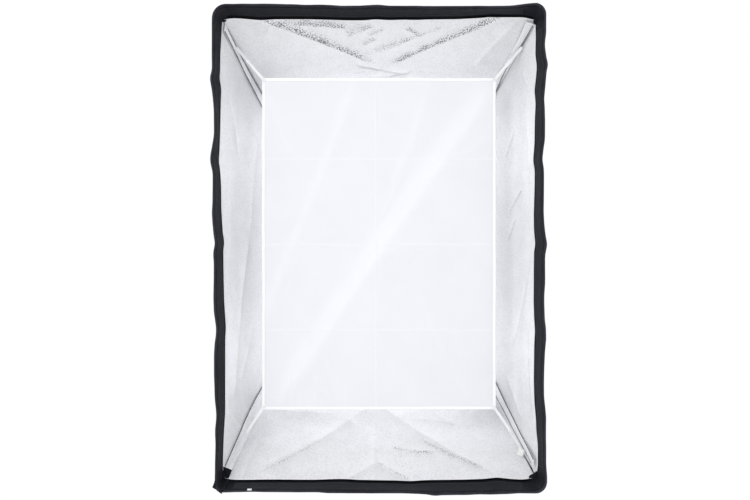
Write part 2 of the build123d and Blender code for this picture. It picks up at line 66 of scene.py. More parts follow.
# The parabola that each rod follows in the top right corner, as in the CAD model
ROD = np.array([[76, -28, 95], [237, -94, 286], [301.1, -346, 441.1]]) * MM
REAR_SHARE = 0.16
LINING_SHIFT, SHELL_SHIFT = -3.7 * MM, 5.1 * MM
FRONT_ROUND = 2.8 * MM  # how far in from its outline the rim's inner face ends
RIM_LOW, RIM_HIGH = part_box("rim_top")
SIDE_LOW, SIDE_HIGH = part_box("rim_right")
SEAM_Y, FRONT_Y = RIM_HIGH.y, RIM_LOW.y
INSIDE_X, INSIDE_Z = SIDE_LOW.x, RIM_LOW.z
OUTSIDE_X, OUTSIDE_Z = SIDE_HIGH.x, RIM_HIGH.z
BIND_LOW, BIND_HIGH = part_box("diffuser_binding")
PANEL_LOW, PANEL_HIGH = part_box("diffuser_panel")
DIFFUSER_Z = (BIND_LOW.z + BIND_HIGH.z) / 2
DIFFUSER_Y = (BIND_LOW.y + BIND_HIGH.y) / 2
SAG = 2.2 * MM  # the inner diffuser hangs this far below its plain size at its lower edge
CAP_RADIUS = 3.8 * MM  # of the snaps at the strap ends

# Each wall's axis outward, its axis across and its sign
SIDES = {"top": (2, 0, 1), "bottom": (2, 0, -1), "right": (0, 2, 1), "left": (0, 2, -1)}
CORNERS = {"top_right": (1, 1), "top_left": (-1, 1), "bottom_right": (1, -1), "bottom_left": (-1, -1)}


def rod(share, shift=0.0):
    """Points of the top right rod line, moved outward in x, y and z alike."""
    s = np.asarray(share, float)[..., None]
    return ROD[0] * (1 - s) ** 2 + ROD[1] * 2 * s * (1 - s) + ROD[2] * s ** 2 + shift


def rod_slope(share):
    s = np.asarray(share, float)[..., None]
    return 2 * (1 - s) * (ROD[1] - ROD[0]) + 2 * s * (ROD[2] - ROD[1])


def share_at(y, shift):
    """The share of the rod line at which it passes a depth."""
    shares = np.linspace(0, 1, 4001)
    return float(np.interp(-y, -rod(shares, shift)[:, 1], shares))


# ---------------------------------------------------------------- smooth noise


def noise(x, y, scale, seed):
    """Smooth value noise over a plane, about -1 to 1, with lumps as wide as scale."""
    table = np.random.default_rng(seed).uniform(-1, 1, (64, 64))
    x, y = x / scale + 31.7, y / scale + 17.3
    i, j = np.floor(x).astype(int), np.floor(y).astype(int)
    fx, fy = x - i, y - j
    fx, fy = fx * fx * (3 - 2 * fx), fy * fy * (3 - 2 * fy)
    a, b = table[i % 64, j % 64], table[(i + 1) % 64, j % 64]
    c, d = table[i % 64, (j + 1) % 64], table[(i + 1) % 64, (j + 1) % 64]
    return (a * (1 - fx) + b * fx) * (1 - fy) + (c * (1 - fx) + d * fx) * fy


def cloth_noise(x, y, scale, seed):
    return (noise(x, y, scale, seed) + 0.5 * noise(x, y, scale / 2.1, seed + 1)
            + 0.22 * noise(x, y, scale / 4.3, seed + 2))


def from_line(x, y, start, end, bow):
    """How far points are to the left of a bowed line and past its ends, and their share of the way along it."""
    (x0, y0), (x1, y1) = start, end
    length = math.hypot(x1 - x0, y1 - y0)
    ux, uy = (x1 - x0) / length, (y1 - y0) / length
    along = (x - x0) * ux + (y - y0) * uy
    share = np.clip(along / length, 0, 1)
    across = -(x - x0) * uy + (y - y0) * ux - bow * 4 * share * (1 - share)
    return across, along - share * length, share


def crease(x, y, start, end, width, bow=0.0):
    """1 along a line from start to end and falling to 0 away from it, with tapered ends and a bow."""
    across, past, share = from_line(x, y, start, end, bow)
    fade = np.clip(np.minimum(share, 1 - share) / 0.12, 0, 1) ** 0.6
    return np.exp(-(across ** 2 + past ** 2) / width ** 2) * fade, across


# ---------------------------------------------------------------- meshes


def mesh_object(name, vertices, faces, smooth=True):
    mesh = bpy.data.meshes.new(name)
    mesh.from_pydata([tuple(v) for v in vertices], [], [tuple(f) for f in faces])
    mesh.validate()
    mesh.polygons.foreach_set("use_smooth", [smooth] * len(mesh.polygons))
    piece = bpy.data.objects.new(name, mesh)
    bpy.context.scene.collection.objects.link(piece)
    return piece


def grid_faces(rows, columns, closed=False):
    wrap = columns if closed else columns - 1
    return [(r * columns + c, r * columns + (c + 1) % columns,
             (r + 1) * columns + (c + 1) % columns, (r + 1) * columns + c)
            for r in range(rows - 1) for c in range(wrap)]


def set_uv(piece, uv):
    """uv is in metres of cloth, one pair for each vertex, so weaves have their real scale."""
    layer = piece.data.uv_layers.new(name="cloth")
    index = np.zeros(len(piece.data.loops), int)
    piece.data.loops.foreach_get("vertex_index", index)
    layer.data.foreach_set("uv", np.asarray(uv, np.float32).reshape(-1, 2)[index].ravel())


def flat_uv(piece, *axes):
    """Cloth coordinates straight from two of the three axes."""
    set_uv(piece, np.array([v.co for v in piece.data.vertices])[:, list(axes)])


def set_mask(piece, name, values):
    attribute = piece.data.attributes.new(name, "FLOAT", "POINT")
    attribute.data.foreach_set("value", np.asarray(values, np.float32).ravel())


def solidify(piece, thickness, offset=0.0):
    modifier = piece.modifiers.new("thickness", "SOLIDIFY")
    modifier.thickness = thickness
    modifier.offset = offset
    modifier.use_even_offset = False


def cloth_grid(name, points, uv, thickness, flip=False):
    """A sheet of cloth through a grid of points, rows by columns."""
    rows, columns = points.shape[:2]
    faces = grid_faces(rows, columns)
    if flip:
        faces = [f[::-1] for f in faces]
    piece = mesh_object(name, points.reshape(-1, 3), faces)
    set_uv(piece, uv.reshape(-1, 2))
    if thickness:
        solidify(piece, thickness)
    return piece


def own(piece, body, slot, material, *nodes):
    """Puts a finished piece on its body, gives it its material and hides the CAD nodes that it stands for."""
    piece.data.materials.append(material)
    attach(piece, body)
    if nodes:
        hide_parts(*nodes)
    return piece


def facing(points, way):
    """Whether the faces of a grid of points look along a way, judged by one of its middle cells."""
    return np.cross(points[3, 1] - points[2, 1], points[2, 2] - points[2, 1]) @ way > 0


def path_lengths(points):
    steps = np.linalg.norm(np.diff(points, axis=0), axis=1)
    return np.concatenate([[0], np.cumsum(steps)])


def resample(points, distances):
    lengths = path_lengths(points)
    return np.stack([np.interp(distances, lengths, points[:, k]) for k in range(3)], 1)


def tube(points, radius, sides=8, flat=1.0, up=None):
    """Vertices and faces of a closed tube along points. flat squeezes it across up."""
    count = len(points)
    tangent = np.gradient(points, axis=0)
    tangent /= np.linalg.norm(tangent, axis=1)[:, None]
    reference = np.array(up if up is not None else (0.0, 0.0, 1.0), float)
    if up is None and abs(tangent[0] @ reference) > 0.9:
        reference = np.array((1.0, 0.0, 0.0))
    side = np.cross(tangent, reference)
    side /= np.linalg.norm(side, axis=1)[:, None]
    over = np.cross(side, tangent)
    angle = np.arange(sides) * 2 * math.pi / sides
    ring = (np.cos(angle)[None, :, None] * side[:, None] + np.sin(angle)[None, :, None] * over[:, None] * flat)
    vertices = (points[:, None] + ring * np.reshape(radius, (-1, 1, 1))).reshape(-1, 3)
    faces = grid_faces(count, sides, closed=True)
    faces += [tuple(range(sides))[::-1], tuple(range((count - 1) * sides, count * sides))]
    return vertices, faces


def joined(name, parts):
    """One object from several (vertices, faces) pairs."""
    vertices, faces, base = [], [], 0
    for part_vertices, part_faces in parts:
        vertices.extend(part_vertices)
        faces.extend(tuple(i + base for i in f) for f in part_faces)
        base += len(part_vertices)
    return mesh_object(name, vertices, faces)


def lift_beside(line, out):
    """The way out of the cloth at points near a line, from the way out at each point of that line."""
    def lift(points):
        return out[[int(np.argmin(((line - p) ** 2).sum(1))) for p in points]]
    return lift


def stitch_row(points, lift, stitch=3.2 * MM, gap=1.1 * MM, radius=0.32 * MM, dip=0.25 * MM):
    """Separate stitches along a line: each a short thread that rises out of the cloth and dives back."""
    total = path_lengths(points)[-1]
    parts = []
    for n in range(int(total / (stitch + gap))):
        start = n * (stitch + gap)
        line = resample(points, start + np.linspace(0, stitch, 5))
        shape = np.sin(np.linspace(0, math.pi, 5))[:, None]
        out = np.asarray(lift(line)) if callable(lift) else np.asarray(lift, float)
        parts.append(tube(line + out * (shape * 1.6 - 0.6) * dip, radius * (0.6 + 0.4 * shape.ravel()), 5))
    return parts


# ---------------------------------------------------------------- materials


def link(tree, value, socket):
    """Joins an output to a socket, or sets the socket to a number or a colour."""
    if isinstance(value, bpy.types.NodeSocket):
        tree.links.new(value, socket)
    else:
        colour = isinstance(value, tuple) and len(value) == 3 and socket.type == "RGBA"
        socket.default_value = (*value, 1) if colour else value


class Paint:
    """A node material built by short calls. Every number that is the same all over is set on the shader itself."""

    def __init__(self, name, roughness, metallic=0.0, **shader):
        self.material = bpy.data.materials.new(name)
        self.material.use_nodes = True
        self.tree = self.material.node_tree
        self.shader = self.tree.nodes["Principled BSDF"]
        self.shader.inputs["Roughness"].default_value = roughness
        self.shader.inputs["Metallic"].default_value = metallic
        for key, value in shader.items():
            self.shader.inputs[key.replace("_", " ")].default_value = value
        self.height = None

    def node(self, kind, out=0, **inputs):
        node = self.tree.nodes.new(kind)
        for key, value in inputs.items():
            if hasattr(node, key):
                setattr(node, key, value)
            else:
                place = int(key[1:]) if key[0] == "i" and key[1:].isdigit() else key.replace("_", " ")
                link(self.tree, value, node.inputs[place])
        return node.outputs[out]

    def math(self, operation, a, b=0.0):
        return self.node("ShaderNodeMath", operation=operation, i0=a, i1=b)

    def split(self, where):
        node = self.tree.nodes.new("ShaderNodeSeparateXYZ")
        link(self.tree, where, node.inputs[0])
        return node.outputs

    def wave(self, value, pitch):
        return self.math("SINE", self.math("MULTIPLY", value, 2 * math.pi / pitch))

    def mask(self, name):
        return self.node("ShaderNodeAttribute", out="Fac", attribute_name=name)

    def soften(self, radius):
        """Rounds every sharp edge to the eye, below the other bumps."""
        first = next(n for n in self.tree.nodes if n.bl_idname == "ShaderNodeBump")
        link(self.tree, self.node("ShaderNodeBevel", Radius=radius), first.inputs["Normal"])
        return self.material

    def uv(self):
        return self.node("ShaderNodeTexCoord", out="UV")

    def place(self):
        return self.node("ShaderNodeTexCoord", out="Object")

    def noise(self, where, size, detail=2.0):
        return self.node("ShaderNodeTexNoise", Vector=where, Scale=1 / size, Detail=detail)

    def cells(self, where, size, feature="F1", out="Distance"):
        return self.node("ShaderNodeTexVoronoi", out=out, feature=feature, Vector=where, Scale=1 / size)

    def weave(self, where, pitch):
        """Plain weave: threads that pass over and under each other."""
        across, along = [self.wave(part, 2 * pitch) for part in self.split(where)[:2]]
        return self.math("MULTIPLY", across, along)

    def range(self, value, low, high, to_low, to_high):
        return self.node("ShaderNodeMapRange", Value=value, From_Min=low, From_Max=high, To_Min=to_low, To_Max=to_high)

    def mix(self, share, a, b):
        node = self.tree.nodes.new("ShaderNodeMix")
        node.data_type = "RGBA"
        link(self.tree, share, node.inputs[0])
        for value, socket in ((a, node.inputs[6]), (b, node.inputs[7])):
            link(self.tree, value, socket)
        return node.outputs[2]

    def colour(self, value):
        link(self.tree, value, self.shader.inputs["Base Color"])

    def rough(self, value):
        link(self.tree, value, self.shader.inputs["Roughness"])

    def bump(self, height, distance, strength=1.0):
        inputs = {"Height": height, "Distance": distance, "Strength": strength}
        if self.height is not None:
            inputs["Normal"] = self.height
        self.height = self.node("ShaderNodeBump", **inputs)
        link(self.tree, self.height, self.shader.inputs["Normal"])


def nylon(name, dark, light, roughness=0.5, pitch=0.55 * MM, sheen=0.12, specular=0.35):
    """Coated nylon: a fine plain weave, a little darker and shinier in patches where it has been handled, and lighter
    where a mask lays a painted highlight along the rim's front edge.
    """
    p = Paint(name, roughness, Sheen_Weight=sheen, Sheen_Roughness=0.4, Specular_IOR_Level=specular)
    uv = p.uv()
    patches = p.noise(uv, 0.05, 4)
    threads = p.weave(uv, pitch)
    cloth = p.mix(p.range(p.math("ADD", patches, p.math("MULTIPLY", threads, 0.12)), 0.3, 0.8, 0, 1), dark, light)
    # painted highlight: the mask lightens the rim cloth over its front edge, where the fold catches the light
    painted_edge_highlight = p.mask("wear_and_painted_light")
    p.colour(p.mix(painted_edge_highlight, cloth, tuple(c * 2.6 + 0.014 for c in light)))
    p.rough(p.range(patches, 0.35, 0.7, roughness - 0.08, roughness + 0.1))
    p.bump(threads, 0.08 * MM, 0.6)
    p.bump(p.noise(uv, 0.009, 4), 0.5 * MM, 0.35)
    return p.material


def silver(name, base, wear_and_shade, pebble=3.2 * MM):
    """Silver coated cloth with a pebbled face. A mask lays dark specks on it: painted shade along the shaded sides of
    the lining's folds, and a few at random on the sleeves. Another mask lays painted light and painted shade over it.
    """
    p = Paint(name, 0.5, 0.35, Sheen_Weight=0.0)
    uv = p.uv()
    cells = p.cells(uv, pebble)
    fine = p.noise(uv, 1.7 * MM, 3)
    broad = p.noise(uv, 0.035, 3)
    mottle = p.math("ADD", p.math("MULTIPLY", cells, 0.35), p.math("MULTIPLY", fine, 0.9))
    clean = p.mix(p.range(p.math("ADD", mottle, p.math("MULTIPLY", broad, 0.3)), 0.52, 0.95, 0, 1),
                  base, tuple(c * 0.8 for c in base))
    # the dark specks: painted shade along the shaded sides of the lining's folds, and a few at random on the sleeves
    shade_and_wear_specks = p.mask("wear_and_painted_light")
    grain = p.math("ADD", p.noise(uv, 2.5 * MM, 1), p.math("MULTIPLY", shade_and_wear_specks, 0.1))
    speck = p.math("MULTIPLY", p.range(grain, 0.53, 0.63, 0, 1), p.range(shade_and_wear_specks, 0.0, 0.4, 0, 1))
    # painted light and shade: the mask lightens the silver towards white and darkens it towards a deeper grey
    painted_shading = p.mask("painted_shading")
    light = p.mix(p.range(painted_shading, 0, 1, 0, 1), clean, (0.99, 0.99, 0.99))
    painted_shaded = p.mix(p.range(painted_shading, -1, 0, 1, 0), light, tuple(c * 0.55 for c in base))
    # the specks and a faint darkening take the dark speck colour: painted shade on the lining
    p.colour(p.mix(p.math("MULTIPLY", shade_and_wear_specks, 0.1), p.mix(speck, painted_shaded, wear_and_shade), wear_and_shade))
    p.rough(p.range(fine, 0.3, 0.7, 0.42, 0.6))
    p.bump(cells, 0.45 * MM, 0.5)
    p.bump(fine, 0.2 * MM, 0.5)
    return p.material


def white_cloth(name, base, shade, pitch, roughness=0.75, patch=0.09, depth=0.06 * MM, **shader):
    """White cloth, faintly uneven, and lighter where a mask lays a painted highlight along folds."""
    p = Paint(name, roughness, Sheen_Weight=0.15, **shader)
    uv = p.uv()
    threads = p.weave(uv, pitch)
    plain = p.mix(p.range(p.noise(uv, patch, 3), 0.35, 0.7, 0, 1), base, shade)
    # painted highlight: the mask lightens the cloth along the diffuser's folds and ridges
    fold_highlight = p.mask("painted_fold_highlight")
    p.colour(p.mix(fold_highlight, plain, tuple(min(c * 1.06, 0.985) for c in base)))
    p.bump(threads, depth, 0.5)
    p.bump(p.noise(uv, 0.006, 3), 0.25 * MM, 0.25)
    return p.material


def ribbed(name, base, shade, rib, roughness=0.7):
    """Woven elastic: ribs across the length and a dark line between them."""
    p = Paint(name, roughness, Sheen_Weight=0.2)
    parts = p.split(p.uv())
    ribs, cords = p.wave(parts[1], rib), p.wave(parts[0], 0.9 * MM)
    p.colour(p.mix(p.range(ribs, -1, 1, 0, 1), shade, base))
    p.bump(ribs, 0.2 * MM, 0.6)
    p.bump(cords, 0.1 * MM, 0.4)
    return p.material


def fuzzy(name, dark, light):
    """Brushed loop tape: a mat of tiny curled loops."""
    p = Paint(name, 0.9, Sheen_Weight=0.06, Sheen_Roughness=0.6, Specular_IOR_Level=0.1)
    uv = p.uv()
    loops = p.cells(uv, 0.9 * MM, feature="SMOOTH_F1")
    p.colour(p.mix(p.range(p.math("ADD", loops, p.noise(uv, 0.012, 4)), 0.5, 1.1, 0, 1), dark, light))
    p.bump(loops, 0.5 * MM, 0.9)
    p.bump(p.noise(uv, 0.5 * MM, 2), 0.3 * MM, 0.6)
    return p.material


def thread(name, base):
    p = Paint(name, 0.7, Specular_IOR_Level=0.15)
    where = p.place()
    p.colour(p.mix(p.noise(where, 1.5 * MM, 2), base, tuple(c * 0.7 for c in base)))
    p.bump(p.noise(where, 0.4 * MM, 2), 0.1 * MM, 0.6)
    return p.material


def painted(name, base, wear_and_shade, roughness=0.42):
    """Satin coat on cast alloy: orange peel and a few bare scuffs."""
    p = Paint(name, roughness, 0.0, Coat_Weight=0.15)
    where = p.place()
    scuff = p.math("MULTIPLY", p.range(p.noise(where, 0.004, 6), 0.66, 0.72, 0, 1),
                   p.range(p.noise(where, 0.03, 2), 0.5, 0.7, 0, 0.7))
    p.colour(p.mix(scuff, base, wear_and_shade))
    p.rough(p.range(p.noise(where, 0.02, 4), 0.3, 0.7, roughness - 0.08, roughness + 0.12))
    p.bump(p.noise(where, 0.9 * MM, 3), 0.06 * MM, 0.7)
    return p.soften(0.4 * MM)


def metal(name, base, dark, roughness, axis=None, line=0.35 * MM):
    """Bare metal. With an axis it is turned: fine rings round that axis. Without one it is ground."""
    p = Paint(name, roughness, 1.0)
    where = p.place()
    if axis is None:
        stretched = p.node("ShaderNodeMapping", Vector=where, Scale=(900, 900, 90))
        lines = p.node("ShaderNodeTexNoise", Vector=stretched, Scale=1.0, Detail=3.0)
    else:
        parts = p.split(where)
        squares = [p.math("POWER", parts[k], 2.0) for k in range(3) if k != axis]
        radius = p.math("SQRT", p.math("ADD", *squares))
        lines = p.range(p.wave(p.math("ADD", radius, parts[axis]), line), -1, 1, 0, 1)
    stain = p.noise(where, 0.015, 4)
    p.colour(p.mix(p.range(stain, 0.35, 0.75, 0, 1), base, dark))
    p.rough(p.range(p.math("ADD", lines, stain), 0.4, 1.6, roughness - 0.07, roughness + 0.12))
    p.bump(lines, 0.03 * MM, 0.5)
    return p.soften(0.3 * MM)


def moulded(name, base, light, roughness, grain=0.8 * MM, **shader):
    """Moulded plastic or rubber with a fine spark grain."""
    p = Paint(name, roughness, **shader)
    where = p.place()
    p.colour(p.mix(p.range(p.noise(where, 0.012, 4), 0.4, 0.75, 0, 1), base, light))
    p.rough(p.range(p.noise(where, 0.006, 3), 0.3, 0.7, roughness - 0.06, roughness + 0.1))
    p.bump(p.noise(where, grain, 3), 0.07 * MM, 0.7)
    return p.soften(0.5 * MM)


SHELL_CLOTH = nylon("shell_cloth", (0.011, 0.0115, 0.014), (0.02, 0.021, 0.025))
RIM_CLOTH = nylon("rim_cloth", (0.0041, 0.0043, 0.0078), (0.0071, 0.0074, 0.0119), 0.62, 0.7 * MM, 0.02, 0.16)
SILVER = silver("silver_cloth", (0.94, 0.94, 0.955), (0.15, 0.155, 0.17))
SLEEVE = silver("sleeve_cloth", (0.95, 0.95, 0.965), (0.16, 0.16, 0.18), pebble=2.2 * MM)
DIFFUSER = white_cloth("diffuser_cloth", (0.82, 0.822, 0.85), (0.80, 0.803, 0.83), 0.5 * MM)
BINDING = white_cloth("binding_tape", (0.985, 0.985, 0.985), (0.96, 0.965, 0.97), 0.9 * MM, depth=0.1 * MM)
ELASTIC = ribbed("white_elastic", (0.985, 0.985, 0.985), (0.93, 0.93, 0.935), 1.3 * MM)
TAB_TAPE = ribbed("tab_tape", (0.93, 0.93, 0.945), (0.82, 0.82, 0.84), 1.1 * MM)
LABEL = white_cloth("label_cloth", (0.93, 0.93, 0.92), (0.86, 0.86, 0.85), 0.35 * MM, patch=0.006)
LOOP = fuzzy("loop_tape", (0.0042, 0.0044, 0.0078), (0.0086, 0.009, 0.014))
BAND = nylon("black_webbing", (0.0043, 0.0045, 0.0074), (0.0074, 0.0077, 0.0115), 0.62, 1.1 * MM, 0.03, 0.16)
BLACK_THREAD = thread("black_thread", (0.008, 0.008, 0.01))
GREY_THREAD = thread("grey_thread", (0.02, 0.021, 0.025))
WHITE_THREAD = thread("white_thread", (0.85, 0.86, 0.88))
RING_COAT = painted("ring_coat", (0.02, 0.02, 0.022), (0.35, 0.35, 0.36))
TURNED_ALLOY = metal("turned_alloy", (0.78, 0.79, 0.8), (0.62, 0.63, 0.65), 0.28, axis=1)
FERRULE_ALLOY = metal("ferrule_alloy", (0.8, 0.8, 0.81), (0.66, 0.66, 0.68), 0.3)
ROD_STEEL = metal("rod_steel", (0.55, 0.56, 0.58), (0.4, 0.41, 0.43), 0.3)
SCREW_STEEL = metal("screw_steel", (0.66, 0.66, 0.67), (0.5, 0.5, 0.51), 0.25)
KNOB_PLASTIC = moulded("knob_plastic", (0.02, 0.02, 0.021), (0.035, 0.035, 0.037), 0.5)
PAD_PLASTIC = moulded("pad_plastic", (0.7, 0.68, 0.6), (0.75, 0.73, 0.67), 0.45)
SNAP_PLASTIC = moulded("snap_plastic", (0.9, 0.91, 0.92), (0.8, 0.81, 0.82), 0.35)
TIP_RUBBER = moulded("tip_rubber", (0.015, 0.015, 0.015), (0.03, 0.03, 0.03), 0.7)

# ---------------------------------------------------------------- walls

# Folds in the lining. Each runs between two points, given as millimetres across the wall and the rod line's share.
# Then come its width on the left and on the right of that way and its depth inward, in millimetres, how strong the
# dark specks of painted shade on its left are and how wide they reach, its bow, and how much darker it is on the left
# than on the right, as painted shade
FOLDS = {
    "top": [((-226, 0.99), (-12, 0.772), 10, 26, 4.2, 0.95, 14, 3, 0.15),
            ((25, 0.768), (235, 0.995), 10, 26, 4.0, 0.85, 14, 5, 0.12),
            ((0, 0.845), (122, 0.945), 6, 14, 1.8, 0.5, 7, 0, 0.12),
            ((-190, 0.96), (-60, 0.94), 20, 24, -1.8, 0.6, 26, 0, 0.0),
            ((-45, 0.772), (4, 0.735), 5, 7, 1.6, 0.1, 3, 2, -0.55),
            ((4, 0.735), (62, 0.727), 5, 6, 1.2, 0.0, 1, -3, -0.5),
            ((62, 0.727), (-22, 0.70), 5, 6, 0.9, 0.0, 1, 3, 0.4),
            ((70, 0.745), (160, 0.72), 6, 12, 0.9, 0.0, 1, -3, -0.2),
            ((-40, 0.80), (45, 0.87), 4, 9, 1.2, 0.35, 9, 0, 0.1),
            ((-32, 0.86), (-4, 0.89), 4, 6, 0.8, 0.5, 8, 0, 0.2),
            ((-20, 0.905), (10, 0.935), 4, 6, 0.8, 0.4, 8, 0, 0.2),
            ((50, 0.94), (82, 0.905), 5, 6, 0.9, 0.5, 9, 0, 0.2),
            ((-60, 0.90), (-10, 0.95), 14, 14, -1.2, 0.4, 24, 0, 0.0),
            ((20, 0.86), (60, 0.89), 9, 9, 0.7, 0.4, 12, 0, 0.1),
            ((-225, 0.87), (-205, 0.97), 9, 12, 0.8, 0.0, 1, 0, 0.25),
            ((190, 0.76), (265, 0.97), 6, 22, 1.2, 0.0, 1, 4, -0.3)],
    "bottom": [((-238, 0.996), (-8, 0.60), 26, 20, 5.5, 0.0, 1, 7, 0.32),
               ((-8, 0.60), (232, 0.99), 26, 20, 5.5, 0.0, 1, 7, 0.32),
               ((-225, 0.965), (-110, 0.81), 4, 4, 0.5, 0.42, -9, 2, 0.0),
               ((80, 0.795), (200, 0.94), 4, 4, 0.5, 0.42, 9, 2, 0.0),
               ((-62, 0.99), (-8, 0.91), 14, 10, 2.6, 0.1, 4, 2, 0.25),
               ((-8, 0.91), (60, 0.995), 14, 10, 2.4, 0.4, -6, 2, 0.3),
               ((-8, 0.99), (-8, 0.70), 4, 4, 0.7, 0.0, 1, 0, 0.15),
               ((50, 0.70), (150, 0.72), 12, 9, 1.6, 0.0, 1, -7, 0.25),
               ((25, 0.83), (110, 0.86), 9, 9, 0.9, 0.36, 16, 4, 0.1),
               ((110, 0.66), (150, 0.72), 7, 9, 0.9, 0.0, 1, 0, 0.25),
               ((-45, 0.73), (-90, 0.68), 9, 7, 1.0, 0.0, 1, 3, -0.2),
               ((-262, 0.995), (-236, 0.80), 14, 9, 1.0, 0.0, 1, 0, 0.3),
               ((-215, 0.64), (-80, 0.66), 14, 9, 0.7, 0.0, 1, 0, 0.18)],
    "left": [((225, 0.67), (32, 0.735), 16, 20, 2.4, 0.0, 1, 2, 0.25),
             ((32, 0.735), (-289, 0.888), 16, 22, 3.0, 0.0, 1, -5, 0.3),
             ((100, 0.90), (-60, 0.95), 20, 20, 1.6, 0.0, 1, 3, 0.15),
             ((-150, 0.70), (-260, 0.82), 10, 12, 1.6, 0.0, 1, 2, 0.2),
             ((300, 0.93), (180, 0.84), 12, 14, 1.4, 0.0, 1, 4, -0.2),
             ((-300, 0.95), (-350, 0.80), 9, 9, 1.4, 0.0, 1, 0, 0.25),
             ((-60, 0.985), (-330, 0.95), 9, 12, 1.0, 0.0, 1, 0, 0.2)],
    "right": [((17, 0.728), (60, 0.80), 6, 6, 1.2, 0.3, 5, 2, 0.3),
              ((70, 0.74), (117, 0.86), 6, 6, 1.4, 0.3, 5, -2, 0.3),
              ((-200, 0.75), (-60, 0.92), 12, 14, 1.8, 0.0, 1, 4, 0.2),
              ((250, 0.90), (120, 0.95), 12, 12, 1.5, 0.0, 1, -3, 0.2),
              ((344, 0.86), (300, 0.93), 5, 9, 1.2, 0.0, 1, 1, 0.25),
              ((-20, 0.96), (-120, 0.90), 9, 10, 1.3, 0.0, 1, 2, 0.2),
              ((180, 0.70), (230, 0.78), 5, 8, 1.1, 0.25, 6, 0, 0.25),
              ((-250, 0.72), (-330, 0.86), 9, 12, 1.6, 0.0, 1, 2, 0.25),
              ((-150, 0.93), (-330, 0.97), 9, 9, 1.0, 0.25, 8, 2, 0.1)],
}
# painted shade along creases in the lining: two ends, how far it bows and how dark it is
CREASES = {"top": [((-42, 0.758), (42, 0.717), 0, 0.85), ((18, 0.698), (68, 0.735), 0, 0.75),
                   ((-52, 0.718), (-26, 0.730), 0, 0.5)]}


def wall_grid(side, shift, cell, front_y):
    """A plain wall: its points, the way in at each row, each point's place on the cloth and distance from the nearer
    corner, and a function from a share of the rod line to the distance along the cloth."""
    main, cross, sign = SIDES[side]
    last = share_at(front_y, shift)
    shares = np.linspace(REAR_SHARE, last, 400)
    line = rod(shares, shift)
    lengths = path_lengths(np.stack([line[:, 1], line[:, main], 0 * shares], 1))
    rows = int(lengths[-1] / cell) + 1
    share = np.interp(np.linspace(0, lengths[-1], rows), lengths, shares)
    base = rod(share, shift)
    half = rod(share, shift)[:, cross]
    columns = int(2 * half[-1] / cell) + 1
    u = np.linspace(-1, 1, columns)
    across = half[:, None] * u[None]
    along = np.repeat(np.linspace(0, lengths[-1], rows)[:, None], columns, 1)
    points = np.zeros((rows, columns, 3))
    points[..., cross] = across
    points[..., 1] = base[:, 1][:, None]
    points[..., main] = sign * base[:, main][:, None]
    slope = rod_slope(share)
    inward = np.zeros((rows, 3))
    steep = np.hypot(slope[:, 1], slope[:, main])
    inward[:, 1] = -slope[:, main] / steep
    inward[:, main] = sign * slope[:, 1] / steep
    edge = (1 - abs(u))[None] * half[:, None]

    def along_at(value):
        return float(np.interp(value, share, along[:, 0]))
    return points, inward[:, None, :], across, along, edge, along_at


def folded(side, across, along, along_at):
    """How far the lining stands in from its plain curve, where dark specks of painted shade lie along its folds, and
    its painted light and shade: from its folds and creases, and over whole walls.
    """
    seed = {"top": 11, "bottom": 23, "right": 37, "left": 53}[side]
    lift = 0.9 * MM * cloth_noise(across, along, 0.09, seed) + 0.22 * MM * cloth_noise(across, along, 0.022, seed + 5)
    wear_and_painted_light, painted_shading = np.zeros_like(across), np.zeros_like(across)
    # painted light and shade: the side walls lighter near the rim and darker further in, the top wall a little lighter
    # all over
    if side in ("left", "right"):
        painted_shading += np.clip(2.2 * (along / along.max() - 0.9), -0.2, 0.25)
    elif side == "top":
        painted_shading += 0.15
    for start, end, left, right, depth, wear_and_shade, band, bow, step in FOLDS[side]:
        start, end = [(x * MM, along_at(share)) for x, share in (start, end)]
        offset, fade = beside_line(across, along, start, end, bow * MM)
        reach = np.where(offset > 0, left, right) * MM
        far = (np.sqrt(offset ** 2 + (0.8 * MM) ** 2) - 0.8 * MM) / reach
        lift += depth * MM * np.exp(-far) * fade
        # painted shade on one side of each fold and painted light on the other
        painted_shading -= step * np.tanh(offset / (1.2 * MM)) * np.exp(-abs(offset) / (0.9 * reach)) * fade
        # painted shade: dark specks along the shaded side of this fold
        if wear_and_shade:
            inside = offset * np.sign(band)
            patchy = 0.75 + 0.4 * cloth_noise(across, along, 0.016, seed + 9)
            width = abs(band) * MM * (0.8 + 0.25 * cloth_noise(across, along, 0.03, seed + 13))
            here = wear_and_shade * np.clip(inside / (1.2 * MM) + 0.5, 0, 1) * np.exp(-(inside / width) ** 2)
            wear_and_painted_light = np.maximum(wear_and_painted_light, here * fade * patchy)
    # painted shade along each crease
    for start, end, bow, dark in CREASES.get(side, []):
        start, end = [(x * MM, along_at(share)) for x, share in (start, end)]
        offset, fade = beside_line(across, along, start, end, bow * MM)
        painted_shading -= dark * np.exp(-(offset / (2.0 * MM)) ** 2) * fade
    return lift, wear_and_painted_light, painted_shading


def beside_line(x, y, start, end, bow):
    """How far points are to the left of a line, and how much of a fold along it is there: its ends run out."""
    across, past, share = from_line(x, y, start, end, bow)
    return across, np.clip(np.minimum(share, 1 - share) / 0.1, 0, 1) ** 0.7 * np.exp(-(past / (12 * MM)) ** 2)


def corner_out(corner):
    """How far the seam stands out at a corner, in x and in z."""
    sign_x, sign_z = CORNERS[corner]
    top, right = corner.split("_")
    return seam_out(right, sign_z * INSIDE_Z), seam_out(top, sign_x * INSIDE_X)


